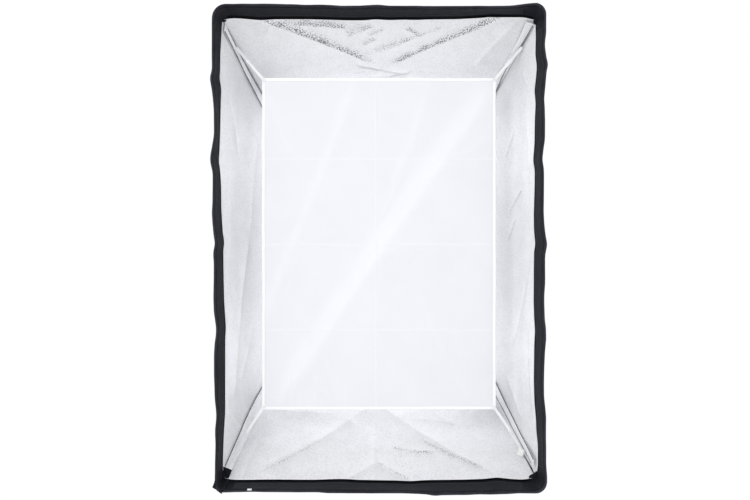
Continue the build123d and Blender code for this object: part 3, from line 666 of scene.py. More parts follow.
def with_rim(side, points, across, edge, before):
    """The last stretch of a wall before the rim waves in and out with it."""
    main, cross, sign = SIDES[side]
    near = np.exp(-(before / 0.04) ** 2)
    moved = points.copy()
    moved[..., main] += sign * seam_out(side, across) * near
    for way in (-1, 1):
        signs = {main: sign, cross: way}
        corner = next(name for name, (x, z) in CORNERS.items() if (x, z) == (signs[0], signs[2]))
        out = corner_out(corner)[0 if cross == 0 else 1]
        moved[..., cross] += way * out * near * np.exp(-(edge / 0.025) ** 2) * (across * way > 0)
    return moved


def lining(side):
    points, inward, across, along, edge, along_at = wall_grid(side, LINING_SHIFT, 3.2 * MM, SEAM_Y - 1.5 * MM)
    length = float(along.max())
    lift, wear_and_painted_light, painted_shading = folded(side, across, along, along_at)
    hold = (np.clip(edge / 0.03, 0, 1) ** 0.7 * np.clip((length - along) / 0.012, 0.15, 1)
            * np.clip(along / 0.03, 0.2, 1))
    points = points + inward * (lift * hold)[..., None]
    points = with_rim(side, points, across, edge, length - along)
    piece = cloth_grid(f"lining_cloth_{side}", points, np.stack([across, along], -1), 0.5 * MM,
                       flip=side in ("top", "left"))
    # the masks carry dark specks of painted shade, and painted light and shade
    set_mask(piece, "wear_and_painted_light", wear_and_painted_light)
    set_mask(piece, "painted_shading", painted_shading)
    own(piece, "box", "silver_lining", SILVER, f"lining_{side}")
    wall_sheet(across, points)


def wall_sheet(across, points):
    float(area_of(points))


def area_of(points):
    """The area of a surface, from the diagonals of its grid's cells."""
    a = points[1:, 1:] - points[:-1, :-1]
    b = points[1:, :-1] - points[:-1, 1:]
    return np.linalg.norm(np.cross(a, b), axis=-1).sum() / 2


def shell(side):
    points, inward, across, along, edge, _ = wall_grid(side, SHELL_SHIFT, 4.6 * MM, SEAM_Y)
    length = float(along.max())
    seed = {"top": 71, "bottom": 83, "right": 97, "left": 109}[side]
    ripple = 0.5 * MM * cloth_noise(across, along, 0.12, seed) + 0.18 * MM * cloth_noise(across, along, 0.03, seed + 3)
    pull = 0.0
    for n in range(5):
        # tension folds that fan out from the rear corners towards the front
        for way in (-1, 1):
            reach = 0.35 + 0.12 * n
            end = (way * float(across.max()) * (0.95 - 0.2 * n), length * reach + 0.05)
            start = (way * float(abs(across[0]).max()) * 0.9, 0.01)
            pull = pull + 0.8 * MM * crease(across, along, start, end, 9 * MM, 6 * MM * way)[0]
    hold = np.clip(edge / 0.03, 0, 1) * np.clip((length - along) / 0.02, 0, 1) * np.clip(along / 0.02, 0, 1)
    points = points - inward * ((ripple - pull * 0.7) * hold)[..., None]
    points = with_rim(side, points, across, edge, length - along)
    piece = cloth_grid(f"shell_cloth_{side}", points, np.stack([across, along], -1), 0.7 * MM,
                       flip=side in ("bottom", "right"))
    own(piece, "box", "shell_nylon", SHELL_CLOTH, f"shell_{side}")
    wall_sheet(across, points)


# ---------------------------------------------------------------- loops round the front


# How far the rim's front edge and its seam stand out from a straight line: place along the side and height, in
# millimetres
RIM_LINES = {
    "top": [(-310, 3.2), (-215, 3.5), (-165, 2.6), (-144, 1.4), (-105, 1.6), (-88, 1.0), (-70, -0.5), (-35, -0.4),
            (-21, 1.0), (-8, 1.8), (3, 1.3), (15, -0.4), (90, -0.7), (230, -0.8), (249, 0.0), (268, 2.8), (285, 4.8),
            (310, 5.4)],
    "bottom": [(-310, -0.8), (-291, 0.5), (-246, -1.0), (-215, -0.4), (-115, 0.0), (-97, 1.7), (45, 2.0), (75, 2.9),
               (92, 4.2), (104, 6.9), (115, 5.5), (160, 5.1), (190, 4.0), (217, 4.1), (240, 3.2), (260, 1.7),
               (290, 2.4), (310, 2.0)],
    "left": [(-456, -2.4), (-400, -2.6), (-366, -3.8), (-338, -2.7), (-320, -4.8), (-308, -5.0), (-285, -2.5),
             (-240, -1.0), (-195, -0.5), (-175, -2.4), (-162, -4.4), (-148, -4.8), (-135, -3.0), (-118, -0.4),
             (-90, 0.3), (-25, -0.6), (-13, 0.8), (-3, 0.2), (10, -2.8), (22, -0.8), (48, 2.0), (68, 3.3), (85, 2.1),
             (110, 1.6), (143, 1.6), (156, 4.8), (167, 6.3), (179, 5.6), (196, 2.2), (212, -0.8), (262, -0.5),
             (283, 1.2), (300, 3.4), (311, 5.8), (323, 7.2), (334, 3.2), (420, 3.6), (456, 3.0)],
    "right": [(-456, 4.4), (-425, 4.7), (-405, 2.8), (-317, 2.6), (-295, 0.8), (-280, -0.9), (-255, -1.6),
              (-215, -0.6), (-190, 1.0), (-168, 3.1), (-148, 2.7), (-135, 0.5), (-112, -0.7), (-82, -0.4), (-60, 1.3),
              (-14, 0.9), (-2, 2.8), (9, 5.0), (21, 2.6), (35, 0.6), (50, -0.8), (77, -1.9), (130, -1.2), (152, -1.7),
              (168, -4.2), (178, -3.2), (190, -2.0), (204, 0.8), (240, 1.0), (262, 0.1), (282, -1.1), (300, 0.9),
              (334, 3.8), (346, 7.0), (356, 3.8), (370, 2.2), (378, 0.4), (388, 0.4), (404, 3.0), (456, 3.0)],
}
SEAM_LINES = {
    "top": [(-300, 1.5), (-278, 6.0), (-250, 4.0), (-225, 1.8), (-201, 3.7), (-130, 3.6), (-60, 1.5), (-25, 1.7),
            (-8, 3.7), (18, 2.0), (47, 2.9), (69, 2.2), (90, 3.2), (150, 3.8), (190, 6.2), (208, 8.2), (240, 7.5),
            (274, 7.6), (298, 1.5)],
    "bottom": [(-300, 1.5), (-276, 5.9), (-180, 5.6), (-122, 5.9), (-88, 4.6), (-66, 4.4), (-43, 6.2), (30, 7.3),
               (58, 8.6), (90, 6.5), (160, 5.7), (200, 4.5), (224, 1.6), (250, 4.3), (272, 5.8), (298, 1.5)],
    "left": [(-440, 1.0), (-400, 1.0), (-362, -0.2), (-310, -3.3), (-170, -3.1), (-148, -4.4), (-100, -1.3),
             (-40, -0.1), (-2, 0.4), (12, -1.8), (32, 1.4), (50, 2.4), (77, 4.2), (122, 4.6), (150, 6.4), (167, 9.2),
             (189, 7.6), (223, 6.4), (279, 5.2), (305, 4.2), (324, 7.6), (335, 6.5), (369, 6.2), (391, 4.8),
             (414, 3.6), (436, 1.5)],
    "right": [(-438, 1.2), (-412, 6.2), (-373, 6.2), (-345, 3.2), (-320, 2.3), (-290, -0.4), (-250, -1.4),
              (-180, -0.5), (-155, 0.8), (-130, -0.9), (-100, -1.9), (-40, -1.6), (-5, -1.2), (9, 1.4), (35, -1.2),
              (65, -1.6), (122, 0.0), (150, 0.2), (167, -2.9), (200, -0.2), (250, 0.4), (276, 1.8), (301, -0.5),
              (324, 2.2), (346, 4.2), (369, 1.2), (403, 2.1), (440, 1.0)],
}


def line_out(lines, side, place):
    """The height of one of those lines at a place, in metres, with its bends rounded off."""
    places, heights = np.array(lines[side]).T * MM
    return np.mean([np.interp(place + step, places, heights) for step in np.linspace(-6, 6, 7) * MM], axis=0)


def seam_out(side, place):
    return line_out(SEAM_LINES, side, place)


# Round the front: each side's way out and way ahead, clockwise from the top, and its number of points
AROUND = {"top": ((0, 1), (1, 0)), "right": ((1, 0), (0, -1)), "bottom": ((0, -1), (-1, 0)), "left": ((-1, 0), (0, 1))}
COUNTS = {"top": 150, "right": 220, "bottom": 150, "left": 220}
CORNER_POINTS = 12


def loop(half_x, half_z, radii, counts):
    """A rounded rectangle, clockwise from the top left: points, outward normals, and each one's side, place along it
    and share of the turn to the next side. The radii go from the top right corner clockwise."""
    points, normals, tags = [], [], []
    halves = np.array([half_x, half_z])
    for n, (side, (out, ahead)) in enumerate(AROUND.items()):
        out, ahead = np.array(out), np.array(ahead)
        half, reach = abs(ahead) @ halves, abs(out) @ halves
        corner = out + ahead
        for r in np.linspace(-half + radii[n - 1], half - radii[n], counts[side]):
            points.append(out * reach + ahead * r)
            normals.append(out)
            tags.append((side, ahead.sum() * r, 0.0))
        for k in range(1, CORNER_POINTS):
            angle = k / CORNER_POINTS * math.pi / 2
            normal = out * math.cos(angle) + ahead * math.sin(angle)
            points.append(corner * (halves - radii[n]) + normal * radii[n])
            normals.append(normal)
            tags.append((side, ahead.sum() * half, k / CORNER_POINTS))
    return np.array(points), np.array(normals), tags


def ring(name, sections, radii, waving, counts=COUNTS, centre_z=0.0):
    """A band right round the front. Each section is (half x, half z, y, share given to waving, radius scale)."""
    rows = []
    for half_x, half_z, y, share, scale in sections:
        points, normals, tags = loop(half_x, half_z, [r * scale for r in radii], counts)
        xz = points + normals * np.array([waving(*tag, share) for tag in tags])[:, None]
        rows.append(np.stack([xz[:, 0], np.full(len(xz), y), xz[:, 1] + centre_z], 1))
    grid = np.array(rows)
    around, down = path_lengths(closed(grid[0]))[:-1], path_lengths(grid[:, 5])
    faces = grid_faces(len(rows), grid.shape[1], closed=True)
    piece = mesh_object(name, grid.reshape(-1, 3), [f[::-1] for f in faces])
    set_uv(piece, np.stack(np.broadcast_arrays(around[None], down[:, None]), -1).reshape(-1, 2))
    return piece, grid


def closed(line):
    return np.vstack([line, line[:1]])


# The side that follows each one clockwise, and where it starts
NEXT_SIDE = {"top": ("right", 0.456), "right": ("bottom", 0.31), "bottom": ("left", -0.456), "left": ("top", -0.31)}


def jitter(place, height, scale, seed):
    return height * noise(np.array([place]), np.array([0.0]), scale, seed)[0]


def rim_out(side, place, turn, share):
    """How far the rim stands out, from its seam at share 0 to its front edge at share 1. In a corner, turn goes from 0
    to 1, from this side's end to the next side's start."""
    def plain(side, place):
        return seam_out(side, place) * (1 - share) + line_out(RIM_LINES, side, place) * share
    here = plain(side, place) + jitter(place, 0.3 * MM, 0.02, 5 + len(side))
    if not turn:
        return here
    return here * (1 - turn) + plain(*NEXT_SIDE[side]) * turn


# Radii of the front edge at the top right, bottom right, bottom left and top left corners
RIM_RADII = [17 * MM, 17 * MM, 12 * MM, 22 * MM]


# The rim's section. Inner face: share of the way to the front, rise off the straight, share of the front line's
# waves and of the corner radii. Outer face: rise off the straight and distance back from the front. Rises and
# distances are in mm
INNER_FACE = [(-0.06, 0.2, 0, 0.35), (0.0, -0.3, 0, 0.35), (0.03, -0.6, 0, 0.35), (0.1, -0.1, 0.08, 0.4),
              (0.25, 0.4, 0.22, 0.5), (0.45, 0.7, 0.42, 0.6), (0.65, 0.6, 0.62, 0.75), (0.8, 0.3, 0.8, 0.85),
              (0.885, 0.0, 0.9, 0.9), (0.9, 0.45, 0.9, 0.92), (0.915, 0.0, 0.93, 0.95), (0.955, -0.5, 0.97, 1),
              (0.985, 0.0, 1, 1)]
OUTER_FACE = [(-1.9, 0.0), (-1.0, 0.0), (-0.3, 0.6), (0.0, 1.6), (-0.35, 2.6), (-0.9, 3.2), (-0.95, 3.9), (-0.4, 5.0),
              (-0.5, 8.0), (-0.7, 14.0), (-1.1, 22.0), (-1.9, 30.0), (-2.6, 36.0), (-3.1, 40.5)]
BEAD, RIM_DEPTH = 6, 40.0  # the rim's beaded front part and its whole outer face, in millimetres back from the front
TAPER_X, TAPER_Z = 3.1 * MM, 9.2 * MM  # how much narrower and lower the rim is at the back
EDGE_HIGHLIGHT_ROWS = [0.2, 0.7, 1.0, 1.0, 1.0, 0.9, 0.5]  # how strong the painted highlight is on each row over the front edge
FIRST_HIGHLIGHT_ROW = 11


def rim():
    """The front rim, one folded band: its inner face from the seam to the beaded front edge, its outer face back."""
    sections = []
    for share, rise, waves, scale in INNER_FACE:
        half_x, half_z = [inside + (outside - FRONT_ROUND - inside) * share + rise * MM
                          for inside, outside in ((INSIDE_X, OUTSIDE_X), (INSIDE_Z, OUTSIDE_Z))]
        sections.append((half_x, half_z, SEAM_Y - (SEAM_Y - FRONT_Y) * share, waves, scale))
    for rise, back in OUTER_FACE:
        share = 1 - back / RIM_DEPTH
        rise *= MM * (1 if back < BEAD else 0.25)
        sections.append((OUTSIDE_X - TAPER_X * (1 - share) + rise, OUTSIDE_Z - TAPER_Z * (1 - share) + rise,
                         FRONT_Y + back * MM, max(share, 0) ** 0.5, 1.0))
    piece, grid = ring("front_rim", sections, RIM_RADII, rim_out)
    # painted highlight on the rows over the front edge, patchy along the rim
    painted_edge_highlight = np.zeros(grid.shape[:2])
    painted_edge_highlight[FIRST_HIGHLIGHT_ROW:FIRST_HIGHLIGHT_ROW + len(EDGE_HIGHLIGHT_ROWS)] = np.array(EDGE_HIGHLIGHT_ROWS)[:, None]
    painted_edge_highlight *= np.clip(0.75 + 0.5 * noise(grid[..., 0] + grid[..., 2], grid[..., 0], 0.05, 19), 0, 1)
    set_mask(piece, "wear_and_painted_light", painted_edge_highlight)
    solidify(piece, 0.5 * MM, -1)
    own(piece, "box", "rim_nylon", RIM_CLOTH, "rim_top", "rim_bottom", "rim_left", "rim_right")
    around = float(path_lengths(closed(grid[20]))[-1])
    return grid


def ring_stitches(grid, row, name, thread_material, body, slot, stitch, gap, radius):
    """A row of stitches all along one line of a band, on its front."""
    line, nearby = closed(grid[row]), closed(grid[row + 1])
    along = np.gradient(line, axis=0)
    out = np.cross(along, nearby - line)
    out /= np.linalg.norm(out, axis=1)[:, None]
    own(joined(name, stitch_row(line, lift_beside(line, -out), stitch, gap, radius)), body, slot, thread_material)


# ---------------------------------------------------------------- rod sleeves


# Each sleeve is a strip beside a corner of the lining. Its edges are measured from the corner down the side wall, in
# millimetres, at shares of the rod line; negative is on the top or bottom wall
SLEEVE_SHARES = (0.98, 0.92, 0.84, 0.77, 0.695, 0.625, 0.5, 0.3)
SLEEVE_EDGES = {
    "top_left": ((-1, 0, 2, 3, 4, 4, 3, 0), (18.8, 18.2, 20.8, 24.9, 26.7, 32.2, 34, 24)),
    "top_right": ((-16, -15, -15, -16, -17, -17, -18, -14), (6.8, 4.5, -3, -7, -4, 2.5, 6, 4)),
    "bottom_left": ((-9, -10, -10, -8, -6, -5, -3, -1), (18, 21, 26, 33, 38, 40, 40, 26)),
    "bottom_right": ((14, 13.5, 13, 12.7, 17, 20, 20, 10), (31.5, 33.4, 34.6, 37.8, 42.4, 50, 48, 30)),
}
SEAM_DARKNESS = {"top_left": (0.55, 1), "top_right": (0, 1), "bottom_left": (0, 1), "bottom_right": (0.6, 1)}


def rounded(w, radius=5.0 * MM):
    return (w + np.sqrt(w * w + radius * radius)) / 2


def beside_corner(corner, share, w, lift):
    """Points on the lining at a distance w from its corner down the side wall, raised off it by lift."""
    sign_x, sign_z = CORNERS[corner]
    base, slope = rod(share, LINING_SHIFT), rod_slope(share)
    offset = np.stack([-rounded(-w), 0 * w, -rounded(w)], -1)
    steep = np.hypot(slope[..., 1], slope[..., 0])
    side_in = np.stack([slope[..., 1] / steep, -slope[..., 0] / steep, 0 * steep], -1)
    steep = np.hypot(slope[..., 1], slope[..., 2])
    top_in = np.stack([0 * steep, -slope[..., 2] / steep, slope[..., 1] / steep], -1)
    turn = (1 + w / np.sqrt(w * w + (5 * MM) ** 2))[..., None] / 2
    inward = side_in * turn + top_in * (1 - turn)
    inward /= np.linalg.norm(inward, axis=-1)[..., None]
    out_x, out_z = corner_out(corner)
    near = np.exp(-((base[..., 1] - SEAM_Y) / (40 * MM)) ** 2)[..., None]
    rim_shift = near * np.array([out_x, 0, out_z])
    return (base + offset + rim_shift + inward * np.asarray(lift)[..., None]) * np.array([sign_x, 1, sign_z])


def sleeve(corner):
    share = np.linspace(0.2, share_at(SEAM_Y + 1 * MM, LINING_SHIFT), 130)[:, None]
    t = np.linspace(0, 1, 15)[None]
    low, high = [np.interp(share, SLEEVE_SHARES[::-1], np.array(edge[::-1]) * MM) for edge in SLEEVE_EDGES[corner]]
    w = low + (high - low) * t
    along = path_lengths(rod(share[:, 0]))[:, None] + 0 * t
    seed = 200 + 10 * list(CORNERS).index(corner)
    lift = (0.7 + 2.1 * np.sin(math.pi * t) ** 0.8) * MM
    lift = lift + 0.5 * MM * cloth_noise(w, along, 0.018, seed) * np.sin(math.pi * t)
    points = beside_corner(corner, share + 0 * t, w, lift)
    piece = cloth_grid(f"sleeve_cloth_{corner}", points, np.stack([w, along], -1), 0.4 * MM,
                       np.prod(CORNERS[corner]) < 0)
    set_mask(piece, "wear_and_painted_light", 0.12 * np.clip(cloth_noise(w, along, 0.03, seed + 4), 0, 1))
    own(piece, "box", "silver_lining", SLEEVE, f"rod_sleeve_{corner}")
    [f"lining_cloth_{side}" for side in corner.split("_")]
    for number, darkness in enumerate(SEAM_DARKNESS[corner]):
        if darkness:
            sleeve_seam(corner, share[:, 0], (low, high)[number][:, 0] + (1.6, -1.6)[number] * MM, darkness, number)


def sleeve_seam(corner, share, w, darkness, number):
    """A sewn line: a row of dark stitches."""
    keep = share > (0.3 if darkness == 1 else 0.45)
    share, w = share[keep], w[keep]
    if darkness < 1:
        share, w = share[share < 0.955], w[share < 0.955]
    line = beside_corner(corner, share, w, 1.5 * MM + 0 * w)
    raised = beside_corner(corner, share, w, 2.5 * MM + 0 * w) - line
    raised /= np.linalg.norm(raised, axis=1)[:, None]
    radius = (0.55 + 0.6 * darkness) * MM
    parts = stitch_row(line, lift_beside(line, raised), 3.2 * MM, 0.9 * MM, radius, 0.35 * MM)
    name = f"sleeve_stitches_{corner}_{number + 1}"
    own(joined(name, parts), "box", "seam_tape", BLACK_THREAD if darkness == 1 else GREY_THREAD)


# ---------------------------------------------------------------- inner diffuser


def folded_panel(x, z):
    """How far the diffuser stands forward of flat, and how strong a painted highlight lies on it along its folds and
    ridges.
    """
    lift = 0.9 * MM * cloth_noise(x, z, 0.16, 301)
    light = np.zeros_like(x)
    low, high, left, right = PANEL_LOW.z - SAG, PANEL_HIGH.z, PANEL_LOW.x, PANEL_HIGH.x
    for level in (0.174, 0.008, -0.157):
        ridge = np.exp(-((z - level - 0.4 * MM * np.sin(x * 30)) / (1.6 * MM)) ** 2)
        lift += 0.45 * MM * ridge
        light = np.maximum(light, 0.5 * ridge)
    for place, height in ((-0.006, 0.5), (-0.0015, -0.35)):
        ridge = np.exp(-((x - place) / (1.5 * MM)) ** 2)
        lift += height * MM * ridge
        light = np.maximum(light, 0.55 * ridge * (height > 0))
    streak, across = crease(x, z, (0.216, 0.324), (-0.202, -0.293), 17 * MM, -4 * MM)
    lift += 2.6 * MM * streak
    light = np.maximum(light, np.clip(streak * 1.5, 0, 1) * (0.75 + 0.25 * np.tanh(across / 0.006)))
    for start, end, width, height, bright in (
            ((-0.046, 0.327), (-0.226, -0.137), 11, 1.5, 0.35), ((0.10, 0.32), (0.0, 0.05), 9, 0.9, 0.2),
            ((0.21, 0.22), (0.06, 0.12), 8, 0.8, 0.2), ((-0.20, -0.05), (-0.09, -0.25), 8, 0.9, 0.15),
            ((0.18, -0.29), (0.09, -0.12), 9, 0.8, 0.15), ((-0.22, 0.30), (-0.17, 0.18), 8, 0.8, 0.2)):
        ridge = crease(x, z, start, end, width * MM, 5 * MM)[0]
        lift += height * MM * ridge
        light = np.maximum(light, bright * ridge)
    for n in range(9):
        # puckers that the binding gathers along the bottom edge
        at = (-0.182 + 0.0145 * n + 0.003 * math.sin(3.1 * n))
        end = (at + 0.006 * math.sin(5 * n), low + 0.05 + 0.02 * math.sin(2 * n))
        ridge = crease(x, z, (at, low), end, 3.2 * MM)[0]
        lift += 0.8 * MM * ridge
        light = np.maximum(light, 0.25 * ridge)
    for n in range(26):
        at = right - (right - left) * (n + 0.5) / 26 + 2 * MM * math.sin(7 * n)
        lift += 0.35 * MM * math.sin(11 * n) * crease(x, z, (at, high), (at, high - 0.02), 4 * MM)[0]
    edge = np.minimum(np.minimum(x - left, right - x), np.minimum(z - low, high - z))
    return lift * np.clip(edge / 0.012, 0, 1), light


def diffuser_panel():
    x0, z0, x1, z1 = PANEL_LOW.x, PANEL_LOW.z - SAG, PANEL_HIGH.x, PANEL_HIGH.z
    x, z = np.meshgrid(np.linspace(x0, x1, 178), np.linspace(z0, z1, 252))
    lift, light = folded_panel(x, z)
    points = np.stack([x, DIFFUSER_Y - lift, z], -1)
    piece = cloth_grid("diffuser_cloth_panel", points, np.stack([x, z], -1), 0.35 * MM)
    # painted highlight along the folds and ridges
    set_mask(piece, "painted_fold_highlight", light)
    own(piece, "diffuser", "diffuser_cloth", DIFFUSER, "diffuser_panel")


def binding():
    """Tape folded over the edge of the panel: a flat loop with a rounded outer edge and two faces."""
    half_x, half_z = (BIND_HIGH.x - BIND_LOW.x) / 2, (BIND_HIGH.z - BIND_LOW.z + SAG) / 2
    width, thick = half_x - PANEL_HIGH.x + 3.2 * MM, (BIND_HIGH.y - BIND_LOW.y) / 3
    face = [(1, 0.35), (1, 0.8), (0.86, 1.0), (0.5, 0.92), (0.22, 0.98), (0.06, 0.75)]
    profile = [(inset, -depth) for inset, depth in face] + [(0, 0)] + face[::-1]

    def waving(side, place, turn, share):
        return jitter(place, 0.5 * MM, 0.05, 400 + len(side)) - 0.3 * MM
    sections = [(half_x - inset * width, half_z - inset * width, DIFFUSER_Y + depth * thick, 1,
                 max(1 - inset * width / (4 * MM), 0.1)) for inset, depth in profile]
    counts = {"top": 110, "right": 150, "bottom": 110, "left": 150}
    piece, grid = ring("diffuser_binding_tape", sections, [3 * MM] * 4, waving, counts, DIFFUSER_Z - SAG / 2)
    own(piece, "diffuser", "diffuser_binding", BINDING, "diffuser_binding")
    ring_stitches(grid, 3, "diffuser_binding_stitches", WHITE_THREAD, "diffuser", "diffuser_binding",
                  2.6 * MM, 1.0 * MM, 0.22 * MM)


def flat_strip(name, start, end, y, widths, thickness, material, body, nodes, seed=0, raised=0.0):
    """A strap between two points of the front plane: a little wavy, cupped, and raised at its end."""
    length = float(np.linalg.norm(end - start))
    along = (end - start) / length
    side = np.array([-along[1], along[0]])
    t = np.linspace(0, 1, max(int(length / (1.4 * MM)), 8))[:, None]
    v = np.linspace(-1, 1, 9)[None]
    width = widths[0] + (widths[1] - widths[0]) * t
    x, z = [start[k] + along[k] * length * t + side[k] * width / 2 * v for k in (0, 1)]
    cupped = 0.25 * MM * (1 - v ** 2) + 0.12 * MM * np.sin(t * length / (9 * MM) + seed) * (1 - abs(v) ** 3)
    depth = y - cupped - raised * np.clip((t - 0.45) / 0.55, 0, 1) ** 1.5
    uv = np.stack([width / 2 * v, length * t + 0 * v], -1)
    piece = cloth_grid(name, np.stack([x, depth, z], -1), uv, thickness)
    return own(piece, body, "strap_elastic", material, *nodes)


def crossed_stitches(name, centre, along, side, y, reach, body, slot, material):
    """A box of stitches with a cross in it."""
    a, b, c, d = (-1, -1), (1, -1), (1, 1), (-1, 1)
    parts = []
    for a, b in ((a, b), (b, c), (c, d), (d, a), (a, c), (b, d)):
        ends = [np.array(centre) + np.array(along) * reach[0] * u + np.array(side) * reach[1] * v for u, v in (a, b)]
        line = np.array([[x, y, z] for x, z in ends])
        parts += stitch_row(line, (0.0, -1.0, 0.0), 1.5 * MM, 0.5 * MM, 0.18 * MM, 0.2 * MM)
    return own(joined(name, parts), body, slot, material)


STRAP_ENDS = np.array([275.5, 389.0]) * MM  # where the tabs end, from the middle of the front


def strap_and_tab(corner):
    """The elastic strap from a corner of the panel to its snap, and the tab from there to the lining's corner."""
    signs = np.array(CORNERS[corner])
    (cap_low, cap_high), (low, high), (tab_low, tab_high) = [
        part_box(node) for node in ("snap_caps", f"diffuser_strap_{corner}", "strap_tabs")]
    snap_z = cap_high.z - CAP_RADIUS if signs[1] > 0 else cap_low.z + CAP_RADIUS
    snap = np.array([signs[0] * (cap_high.x - CAP_RADIUS), snap_z])
    edge = np.array([signs[0] * BIND_HIGH.x, BIND_HIGH.z if signs[1] > 0 else BIND_LOW.z - SAG])
    along = (snap - edge) / np.linalg.norm(snap - edge)
    side = np.array([-along[1], along[0]])
    middle = (low.y + high.y) / 2
    flat_strip(f"diffuser_elastic_{corner}", edge - along * 8 * MM, snap + along * 5.6 * MM, middle + 0.15 * MM,
               (5.4 * MM, 5.0 * MM), 0.8 * MM, ELASTIC, "diffuser", [f"diffuser_strap_{corner}"], signs @ (1, 2))
    crossed_stitches(f"strap_stitches_{corner}", edge - along * 4.4 * MM, along, side, middle - 0.55 * MM,
                     (2.4 * MM, 2.2 * MM), "diffuser", "strap_elastic", WHITE_THREAD)
    tip = signs * STRAP_ENDS
    away = (tip - snap) / np.linalg.norm(tip - snap)
    return flat_strip(f"strap_tab_{corner}", snap - away * 6.6 * MM, tip + away * 1.5 * MM,
                      (tab_low.y + tab_high.y) / 2 + 0.1 * MM, (6.5 * MM, 5.5 * MM), 0.6 * MM, TAB_TAPE, "box", [],
                      raised=5 * MM)


def labels():
    """Two blank labels: one in the lining near a corner, one on the lower side of the rim."""
    low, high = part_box("care_label")
    centre = (low + high) / 2
    turn = math.radians(-15)
    half_x, half_z = 6.8 * MM, 6.3 * MM
    u, v = np.meshgrid(np.linspace(-1, 1, 15), np.linspace(-1, 1, 15))
    x, z = u * half_x, v * half_z
    points = np.stack([centre.x - 1.5 * MM + x * math.cos(turn) - z * math.sin(turn),
                       centre.y - 12 * MM - 0.5 * MM * np.sin(u * 2.2 + 0.5) * (v + 1.2) / 2,
                       centre.z + x * math.sin(turn) + z * math.cos(turn)], -1)
    piece = cloth_grid("care_label_cloth", points, np.stack([x, z], -1), 0.3 * MM)
    own(piece, "box", "label_white", LABEL, "care_label")
    parts = []
    for edge, next_in in ((0, 1), (-1, -2)):
        line = points[:, edge] + np.array([0, -0.25 * MM, 0]) + (points[:, next_in] - points[:, edge])
        parts += stitch_row(line, (0.0, -1.0, 0.0), 1.4 * MM, 0.6 * MM, 0.15 * MM, 0.15 * MM)
    own(joined("care_label_stitches", parts), "box", "label_white", GREY_THREAD)
    low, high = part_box("rim_label")
    down = np.array([0, low.y - high.y, low.z - high.z])
    x, t = np.meshgrid(np.linspace(low.x, high.x, 13), np.linspace(0, 1, 9))
    points = np.stack([x, high.y + down[1] * t - 2.2 * MM, high.z + down[2] * t + 1.0 * MM], -1)
    piece = cloth_grid("rim_label_cloth", points, np.stack([x, t * 5 * MM], -1), 0.3 * MM)
    own(piece, "box", "label_white", LABEL, "rim_label")


def loop_tapes(grid):
    """Loop tape round the inner face of the rim, in four lengths, for the front diffuser that hangs there."""
    start, margin = 0, 5
    for side, count in COUNTS.items():
        face = grid[3:9, start + margin:start + count - margin]
        start += count + CORNER_POINTS - 1
        rows = resample_rows(face, 9)
        along, down = np.gradient(rows, axis=1), np.gradient(rows, axis=0)
        normal = np.cross(down, along)
        normal /= np.linalg.norm(normal, axis=-1)[..., None]
        inside = -np.sign((rows * np.array([1, 0, 1]) * normal).sum(-1).mean())
        ends = np.array([0.0, 0.6, 0.9, 1, 1, 1, 0.9, 0.6, 0.0])[:, None] * 0.55 * MM + 0.25 * MM
        points = rows + normal * inside * ends[..., None]
        lengths = path_lengths(points[4])[None] + 0 * ends
        depth = path_lengths(points[:, 40])[:, None] + 0 * lengths
        piece = cloth_grid(f"loop_tape_cloth_{side}", points, np.stack([lengths, depth], -1), 0.5 * MM)
        own(piece, "box", "loop_tape", LOOP, f"loop_tape_{side}")


def resample_rows(face, count):
    """The same surface with another number of rows."""
    share = np.linspace(0, face.shape[0] - 1, count)
    low = np.minimum(share.astype(int), face.shape[0] - 2)
    part = (share - low)[:, None, None]
    return face[low] * (1 - part) + face[low + 1] * part


# The black patch across each inner corner of the rim: how far it reaches along the rim's short and long sides, in
# millimetres, and how ragged its free edge is
PATCHES = {"top_left": (12, 10, 1.6), "top_right": (8, 14, 2.0),
           "bottom_right": (15, 18, 2.6), "bottom_left": (14, 20, 1.5)}


def corner_patches():
    parts = []
    rows, columns = 9, 17
    for corner, (reach_x, reach_z, ragged) in PATCHES.items():
        sign_x, sign_z = CORNERS[corner]
        out_x, out_z = corner_out(corner)
        angle, r = np.meshgrid(np.linspace(0, math.pi / 2, columns), np.linspace(0, 1, rows))
        wobble = ragged * MM * np.sin(angle * 5 + reach_z)
        oval = 1 / np.sqrt((np.cos(angle) / (reach_x * MM)) ** 2 + (np.sin(angle) / (reach_z * MM)) ** 2)
        reach = oval * 0.92 + wobble * 0.6
        x = (INSIDE_X + out_x + 1.5 * MM - np.cos(angle) * r * (reach + 1.5 * MM)) * sign_x
        z = (INSIDE_Z + out_z + 1.5 * MM - np.sin(angle) * r * (reach + 1.5 * MM)) * sign_z
        y = SEAM_Y - (1.2 + 1.3 * (1 - r ** 2)) * MM - 0.5 * MM * np.sin(angle * 4 + r * 3)
        front = np.stack([x, y, z], -1).reshape(-1, 3)
        count = len(front)
        faces = grid_faces(rows, columns)
        if sign_x * sign_z < 0:
            faces = [f[::-1] for f in faces]
        # the back, and the side that joins it to the front along the three free edges
        number = np.arange(count).reshape(rows, columns)
        free = [*number[:, -1], *number[-1, -2::-1], *number[-2::-1, 0]]
        faces += [tuple(i + count for i in f[::-1]) for f in faces]
        faces += [(a, b, b + count, a + count) for a, b in zip(free, free[1:])]
        parts.append((np.vstack([front, front + np.array([0, 0.9 * MM, 0])]), faces))
    piece = joined("corner_pocket_cloth", parts)
    flat_uv(piece, 0, 2)
    own(piece, "box", "rim_nylon", RIM_CLOTH, "corner_pockets")


